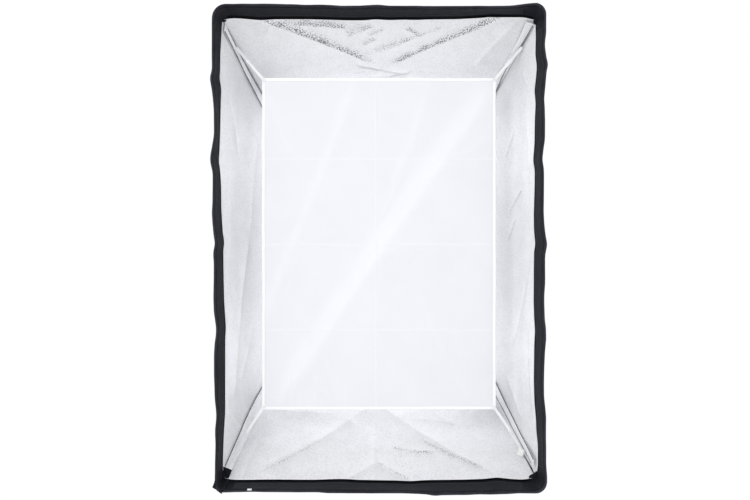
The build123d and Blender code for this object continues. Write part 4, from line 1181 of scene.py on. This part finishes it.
def corner_band():
    """The band of webbing over the lower left corner of the rim, which holds the tip of that rod."""
    inner, outer = np.array([-289.0, -416.0]) * MM, np.array([-303.5, -452.5]) * MM
    length, half_mm = np.linalg.norm(outer - inner), 10.5
    along = (outer - inner) / length
    side = np.array([-along[1], along[0]])
    t, v = np.meshgrid(np.linspace(0, 1, 34), np.linspace(-1, 1, 17), indexing="ij")
    reach = length * t + 2.6 * MM * v * t
    x, z = [inner[k] + along[k] * reach + side[k] * half_mm * MM * v for k in (0, 1)]
    depth = np.maximum((-x - INSIDE_X) / (OUTSIDE_X - FRONT_ROUND - INSIDE_X),
                       (-z - INSIDE_Z) / (OUTSIDE_Z - FRONT_ROUND - INSIDE_Z))
    y = SEAM_Y - np.clip(depth, -0.04, 1.0) * (SEAM_Y - FRONT_Y) - 1.5 * MM - 0.4 * MM * np.cos(v * math.pi / 2)
    points = np.stack([x, np.maximum(y, FRONT_Y - 3 * MM), z], -1)
    piece = cloth_grid("rim_corner_band", points, np.stack([half_mm * MM * v, reach], -1), 1.2 * MM)
    own(piece, "box", "rim_nylon", BAND)


# ---------------------------------------------------------------- rear closure


# The rear opening's inner edge, an octagon round the speed ring, and its outer corners, where the rods come in
THROAT_Y, THROAT = -8 * MM, 91 * MM
OCTAGON_HALF = THROAT * math.tan(math.pi / 8)
REAR = rod(REAR_SHARE, 6.6 * MM)
NOTCH_RADIUS, NOTCH_TOP = 16 * MM, 121 * MM  # of the cut-out round a clamp knob
FLAP_MARGIN = 9 * MM  # how far a flap is sewn on to the shell before its hinge


def flap_frame(side):
    """The hinge line's place, the way from it to the ring and the outward normal, as (y, main) pairs, and how far
    the ring is."""
    hinge = np.array([REAR[1], REAR[SIDES[side][0]]])
    throat = np.array([THROAT_Y, THROAT])
    length = float(np.linalg.norm(throat - hinge))
    down = (throat - hinge) / length
    return hinge, down, np.array([-down[1], down[0]]), length


def shell_forward(main):
    """The way along the shell from a hinge towards the front, as a (y, main) pair."""
    slope = rod_slope(REAR_SHARE)
    return np.array([slope[1], slope[main]]) / np.hypot(slope[1], slope[main])


def flap_points(side, across, t, lift):
    """Points on a flap: across it, and t past its hinge towards the ring. Before the hinge it lies on the shell."""
    main, cross, sign = SIDES[side]
    hinge, down, outward, _ = flap_frame(side)
    forward = shell_forward(main)
    forward_out = np.array([forward[1], -forward[0]])
    soft = 1 / (1 + np.exp(-t / (1.6 * MM)))[..., None]
    on_flap = hinge + down * t[..., None] + outward * lift[..., None]
    on_shell = hinge - forward * t[..., None] + forward_out * lift[..., None]
    flat = on_flap * soft + on_shell * (1 - soft)
    points = np.zeros(across.shape + (3,))
    points[..., cross] = across
    points[..., 1] = flat[..., 0]
    points[..., main] = sign * flat[..., 1]
    return points


def flap_half(side, t):
    inner, outer = OCTAGON_HALF + 9 * MM, REAR[SIDES[side][1]] - 8 * MM
    return outer + (inner - outer) * np.clip(t / flap_frame(side)[3], -0.05, 1)


def notch_centre(length):
    return length - length * (NOTCH_TOP - THROAT) / (REAR[2] - THROAT) + NOTCH_RADIUS


def rear_flap(side):
    hinge, down, _, length = flap_frame(side)
    main, _, sign = SIDES[side]
    t, v = np.meshgrid(np.linspace(-FLAP_MARGIN, length, 44), np.linspace(-1, 1, 88), indexing="ij")
    across, faces = v * flap_half(side, t), grid_faces(*t.shape)
    seed = {"top": 501, "bottom": 511, "right": 521, "left": 531}[side]
    billow = 1.2 * MM * cloth_noise(across, t, 0.05, seed) * np.clip(1.1 - abs(v), 0, 1) * np.clip(t / 0.02, 0, 1)
    notched = side in ("top", "bottom")
    if notched:
        # the notch that lets a clamp knob through: points inside it are moved onto its outline, and its faces go
        away = np.stack([across, np.minimum(t - notch_centre(length), 0)], -1)
        distance = np.linalg.norm(away, axis=-1) - NOTCH_RADIUS
        away /= np.linalg.norm(away, axis=-1)[..., None] + 1e-9
        shift = np.where(distance < 0, -distance, 0)
        across, t = across + away[..., 0] * shift, t + away[..., 1] * shift
        gone = (distance < 0).ravel()
        faces = [f for f in faces if not all(gone[i] for i in f)]
    points = flap_points(side, across, t, 1.4 * MM + billow)
    if side not in ("top", "left"):
        faces = [f[::-1] for f in faces]
    piece = mesh_object(f"rear_flap_cloth_{side}", points.reshape(-1, 3), faces)
    set_uv(piece, np.stack([across, t], -1).reshape(-1, 2))
    set_mask(piece, "wear_and_painted_light", np.zeros(across.size))
    drop_loose(piece)
    two_faced(piece, 1.0 * MM)
    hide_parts(f"rear_flap_{side}")

    def place(pair):
        point = [0.0, float(pair[0]), 0.0]
        point[main] = sign * float(pair[1])
        return tuple(point)
    place(hinge + shell_forward(main) * 5 * MM)
    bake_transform(piece)
    flap_hem(side, length, notched)


def two_faced(piece, thickness):
    """Nylon outside and silver inside."""
    solidify(piece, thickness)
    piece.modifiers["thickness"].material_offset = 1
    piece.data.materials.append(SHELL_CLOTH)
    piece.data.materials.append(SILVER)


def drop_loose(piece):
    """Removes the points that no face uses any longer."""
    work = bmesh.new()
    work.from_mesh(piece.data)
    bmesh.ops.delete(work, geom=[v for v in work.verts if not v.link_faces], context="VERTS")
    work.to_mesh(piece.data)
    work.free()


def flap_hem(side, length, notched):
    """Folded binding round the free edges of a flap, with a row of stitches."""
    main, cross, sign = SIDES[side]
    inset, start = 3.4 * MM, 9 * MM
    half_start, half_end = [float(flap_half(side, np.array(t))) - inset for t in (start, length)]
    line = [(-half_start, start), (-half_end, length - inset)]
    if notched:
        radius = NOTCH_RADIUS + inset
        line.append((-radius, length - inset))
        centre = notch_centre(length)
        line += [(-radius * math.cos(a), centre - radius * math.sin(a)) for a in np.linspace(0, math.pi, 15)]
        line.append((radius, length - inset))
    line += [(half_end, length - inset), (half_start, start)]
    line = np.array([[a, b, 0] for a, b in line])
    total = path_lengths(line)[-1]
    fine = resample(line, np.linspace(0, total, int(total / (3 * MM))))
    smooth = fine.copy()
    for _ in range(2):
        smooth[1:-1] = (smooth[:-2] + 2 * smooth[1:-1] + smooth[2:]) / 4
    points = flap_points(side, smooth[:, 0], smooth[:, 1], 1.5 * MM + 0 * smooth[:, 0])
    outward = np.zeros(3)
    outward[1], outward[main] = flap_frame(side)[2] * (1, sign)
    hem = joined(f"rear_flap_hem_{side}", [tube(points, 3.6 * MM, 10, 0.42, up=outward)])
    flat_uv(hem, cross, 1)
    own(hem, f"flap_{side}", "shell_nylon", BAND)
    parts = stitch_row(points + outward * 1.45 * MM, outward, 3.0 * MM, 1.2 * MM, 0.3 * MM)
    own(joined(f"rear_flap_stitches_{side}", parts), f"flap_{side}", "shell_nylon", GREY_THREAD)


def gussets():
    """The fixed triangles of cloth over the rod sockets, between the flaps."""
    for number, (corner, (sign_x, sign_z)) in enumerate(CORNERS.items()):
        signs = np.array([sign_x, 1, sign_z])
        a, b, c = np.array([REAR, (OCTAGON_HALF, THROAT_Y, THROAT), (THROAT, THROAT_Y, OCTAGON_HALF)]) * signs
        middle = (b + c) / 2
        s, t = np.meshgrid(np.linspace(0, 1, 30), np.linspace(0, 1, 25), indexing="ij")
        points = a + (b - a) * (s * (1 - t))[..., None] + (c - a) * (s * t)[..., None]
        normal = np.cross(b - a, c - a)
        normal *= np.sign(normal[1]) / np.linalg.norm(normal)
        local = np.stack([(points - a) @ ((q - p) / np.linalg.norm(q - p)) for p, q in ((a, b), (b, c))], -1)
        sag = 1.5 * MM * np.sin(math.pi * t) * np.sin(math.pi * s) ** 0.7
        sag += 0.3 * MM * cloth_noise(local[..., 0], local[..., 1], 0.03, 600 + 10 * number)
        points = points - normal * (sag + 0.5 * MM)[..., None]
        piece = cloth_grid(f"rear_gusset_cloth_{corner}", points[1:], local[1:], 0, facing(points, normal))
        set_mask(piece, "wear_and_painted_light", np.zeros(points[1:].size // 3))
        two_faced(piece, 0.9 * MM)
        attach(piece, "box")
        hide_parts("rear_gussets")
        width, length = float(np.linalg.norm(b - c)), float(np.linalg.norm(middle - a))
        edge = np.array([b + (c - b) * k for k in np.linspace(0, 1, 25)]) + normal * 0.3 * MM
        hem = tube(edge + (a - middle) / length * 2.5 * MM, 2.8 * MM, 10, 0.4, up=normal)
        gusset_part(f"gusset_loop_strips_{corner}", loop_strips(a, b, c, normal), "loop_tape", LOOP, 0.6 * MM)
        gusset_part(f"gusset_margins_{corner}", margins(a, b, c), "shell_nylon", BAND, 0.6 * MM)
        gusset_part(f"rear_gusset_hem_{corner}", [hem], "shell_nylon", BAND)


def gusset_part(name, parts, slot, material, thickness=0.0):
    piece = joined(name, parts)
    flat_uv(piece, 0, 2)
    if thickness:
        solidify(piece, thickness)
    own(piece, "box", slot, material)


def strip_part(points, way):
    """A grid of points as vertices and faces that look along a way."""
    faces = grid_faces(*points.shape[:2])
    return points.reshape(-1, 3), faces if facing(points, way) else [f[::-1] for f in faces]


def loop_strips(a, b, c, normal):
    """Two strips of loop tape on a gusset, beside the edges of the flaps."""
    for end in (b, c):
        along = (end - a) / np.linalg.norm(end - a)
        inward = np.cross(normal, along)
        inward *= np.sign(inward @ ((b + c) / 2 - a))
        t, v = np.meshgrid(np.linspace(0.42, 0.78, 20), np.linspace(0, 1, 5), indexing="ij")
        points = a + (end - a) * t[..., None] + inward * ((2.2 + 6.5 * v) * MM)[..., None]
        yield strip_part(points + normal * (0.25 * MM * np.sin(math.pi * v) - 0.05 * MM)[..., None], normal)


def margins(a, b, c):
    """Two margins of a gusset, folded in under the edges of the flaps beside it."""
    for end, axis in ((b, 0), (c, 2)):
        along = (end - a) / np.linalg.norm(end - a)
        rear = np.cross(along, np.eye(3)[axis])
        rear *= np.sign(rear[1]) / np.linalg.norm(rear)
        across = np.cross(rear, along)
        across *= -np.sign(across[axis] * a[axis])
        t, v = np.meshgrid(np.linspace(0.02, 0.97, 40), np.linspace(-0.25, 1, 8), indexing="ij")
        yield strip_part(a + (end - a) * t[..., None] + across * (7 * MM * v)[..., None] - rear * 1.7 * MM, rear)


# ---------------------------------------------------------------- outer seams


def outer_seams():
    """Piping along the four corners of the shell, with a row of stitches on each side."""
    share = np.linspace(REAR_SHARE, share_at(SEAM_Y + 1 * MM, SHELL_SHIFT), 160)
    for corner, (sign_x, sign_z) in CORNERS.items():
        signs = np.array([sign_x, 1, sign_z])
        line = (rod(share, SHELL_SHIFT) + np.array([-0.3, 0, -0.3]) * MM) * signs
        out = np.array([sign_x, 0.35, sign_z], float)
        out /= np.linalg.norm(out)
        piping = joined(f"corner_piping_{corner}", [tube(line + out * 0.8 * MM, 1.6 * MM, 10)])
        lengths = np.repeat(path_lengths(line), 10)
        set_uv(piping, np.stack([np.tile(np.arange(10) * MM, len(line)), lengths], -1))
        own(piping, "box", "seam_tape", BAND)
        parts = []
        for axis, drop in ((0, 2), (2, 0)):
            beside = line.copy()
            beside[:, axis] -= signs[axis] * 6.5 * MM
            face_out = np.zeros(3)
            face_out[drop] = signs[drop]
            beside = beside + face_out * 0.5 * MM
            parts += stitch_row(beside, face_out, 3.4 * MM, 1.4 * MM, 0.32 * MM)
        own(joined(f"corner_seam_stitches_{corner}", parts), "box", "seam_tape", GREY_THREAD)


# ---------------------------------------------------------------- camera, light and floor


def area_light(name, place, target, size, power):
    light = bpy.data.lights.new(name, "AREA")
    light.shape = "RECTANGLE"
    light.size, light.size_y = size
    light.energy = power
    lamp = bpy.data.objects.new(name, light)
    lamp.location = place
    lamp.rotation_euler = (Vector(target) - Vector(place)).to_track_quat("-Z", "Y").to_euler()
    bpy.context.scene.collection.objects.link(lamp)
    return lamp


CAMERA_PLACE, LENS_MM, SENSOR_MM = (-7.7 * MM, -3.18, -2 * MM), 71.757, 36
SEEN_LIGHT, WORLD_LIGHT = 1.02, 0.72  # how bright the white world is for the camera and as a light


def world():
    """A white studio: what the camera sees is pure white, and what lights the object is a little weaker."""
    made = bpy.data.worlds.new("studio")
    made.use_nodes = True
    tree = made.node_tree
    tree.nodes.clear()
    seen = tree.nodes.new("ShaderNodeBackground")
    seen.inputs[0].default_value = (1, 1, 1, 1)
    seen.inputs[1].default_value = SEEN_LIGHT
    lighting = tree.nodes.new("ShaderNodeBackground")
    lighting.inputs[0].default_value = (0.96, 0.98, 1.0, 1)
    lighting.inputs[1].default_value = WORLD_LIGHT
    path = tree.nodes.new("ShaderNodeLightPath")
    mixed = tree.nodes.new("ShaderNodeMixShader")
    out = tree.nodes.new("ShaderNodeOutputWorld")
    tree.links.new(path.outputs["Is Camera Ray"], mixed.inputs[0])
    tree.links.new(lighting.outputs[0], mixed.inputs[1])
    tree.links.new(seen.outputs[0], mixed.inputs[2])
    tree.links.new(mixed.outputs[0], out.inputs[0])
    bpy.context.scene.world = made


def floor():
    """A pale studio floor, low enough to stay out of the front view."""
    half, level = 3.0, -1.05
    x, y = np.meshgrid(np.linspace(-2 * half, 2 * half, 25), np.linspace(-3 * half, half, 25))
    points = np.stack([x, y, level + 0 * x], -1)
    piece = mesh_object("studio_floor", points.reshape(-1, 3), grid_faces(25, 25))
    p = Paint("studio_floor", 0.8)
    p.colour(p.mix(p.noise(p.place(), 0.4, 3), (0.84, 0.84, 0.85), (0.88, 0.88, 0.885)))
    piece.data.materials.append(p.material)


def studio():
    camera = bpy.data.cameras.new("camera")
    camera.sensor_width = SENSOR_MM
    camera.lens = LENS_MM
    seen_from = bpy.data.objects.new("camera", camera)
    seen_from.location = CAMERA_PLACE
    seen_from.rotation_euler = (math.pi / 2, 0, 0)
    bpy.context.scene.collection.objects.link(seen_from)
    bpy.context.scene.camera = seen_from
    bpy.context.scene.view_settings.view_transform = "Standard"
    world()
    floor()
    area_light("key", (-1.7, -2.9, 1.3), (0, -0.3, 0), (1.6, 1.6), 45)
    area_light("fill", (1.7, -2.4, -0.6), (0, -0.3, 0), (1.4, 1.4), 14)
    area_light("back", (1.0, 2.4, 1.8), (0, -0.1, 0), (1.5, 1.5), 16)
    for name, y, power in (("inside_front", -0.25, 0.47), ("inside_back", -0.17, 0.66)):
        area_light(name, (0, y, 0), (0, 1, 0), (0.34, 0.54), power).visible_camera = False


# ---------------------------------------------------------------- the object


# The CAD nodes that are kept as they are, by the material each one gets in every slot
NODE_MATERIALS = {
    RING_COAT: ["speed_ring", "retaining_ring"] + [f"rod_socket_{c}" for c in CORNERS],
    TURNED_ALLOY: ["bayonet_insert"],
    ROD_STEEL: [f"rod_{c}" for c in CORNERS],
    FERRULE_ALLOY: ["rod_ferrules"],
    SCREW_STEEL: ["retaining_screws", "socket_screws", "clamp_screw_top", "clamp_screw_bottom"],
    KNOB_PLASTIC: ["clamp_knob_top", "clamp_knob_bottom"],
    PAD_PLASTIC: ["clamp_pad_top", "clamp_pad_bottom"],
    SNAP_PLASTIC: ["snap_caps", "snap_studs"],
    TIP_RUBBER: ["rod_tips"],
}

studio()
for material, names in NODE_MATERIALS.items():
    for slot in [slot for name in names for slot in NODES[name].material_slots]:
        slot.material = material
for side in SIDES:
    lining(side)
    shell(side)
rim_grid = rim()
for corner in CORNERS:
    sleeve(corner)
binding()
diffuser_panel()
tabs = [strap_and_tab(corner) for corner in CORNERS]
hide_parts("strap_tabs")
labels()
loop_tapes(rim_grid)
corner_patches()
corner_band()
for side in SIDES:
    rear_flap(side)
gussets()
outer_seams()
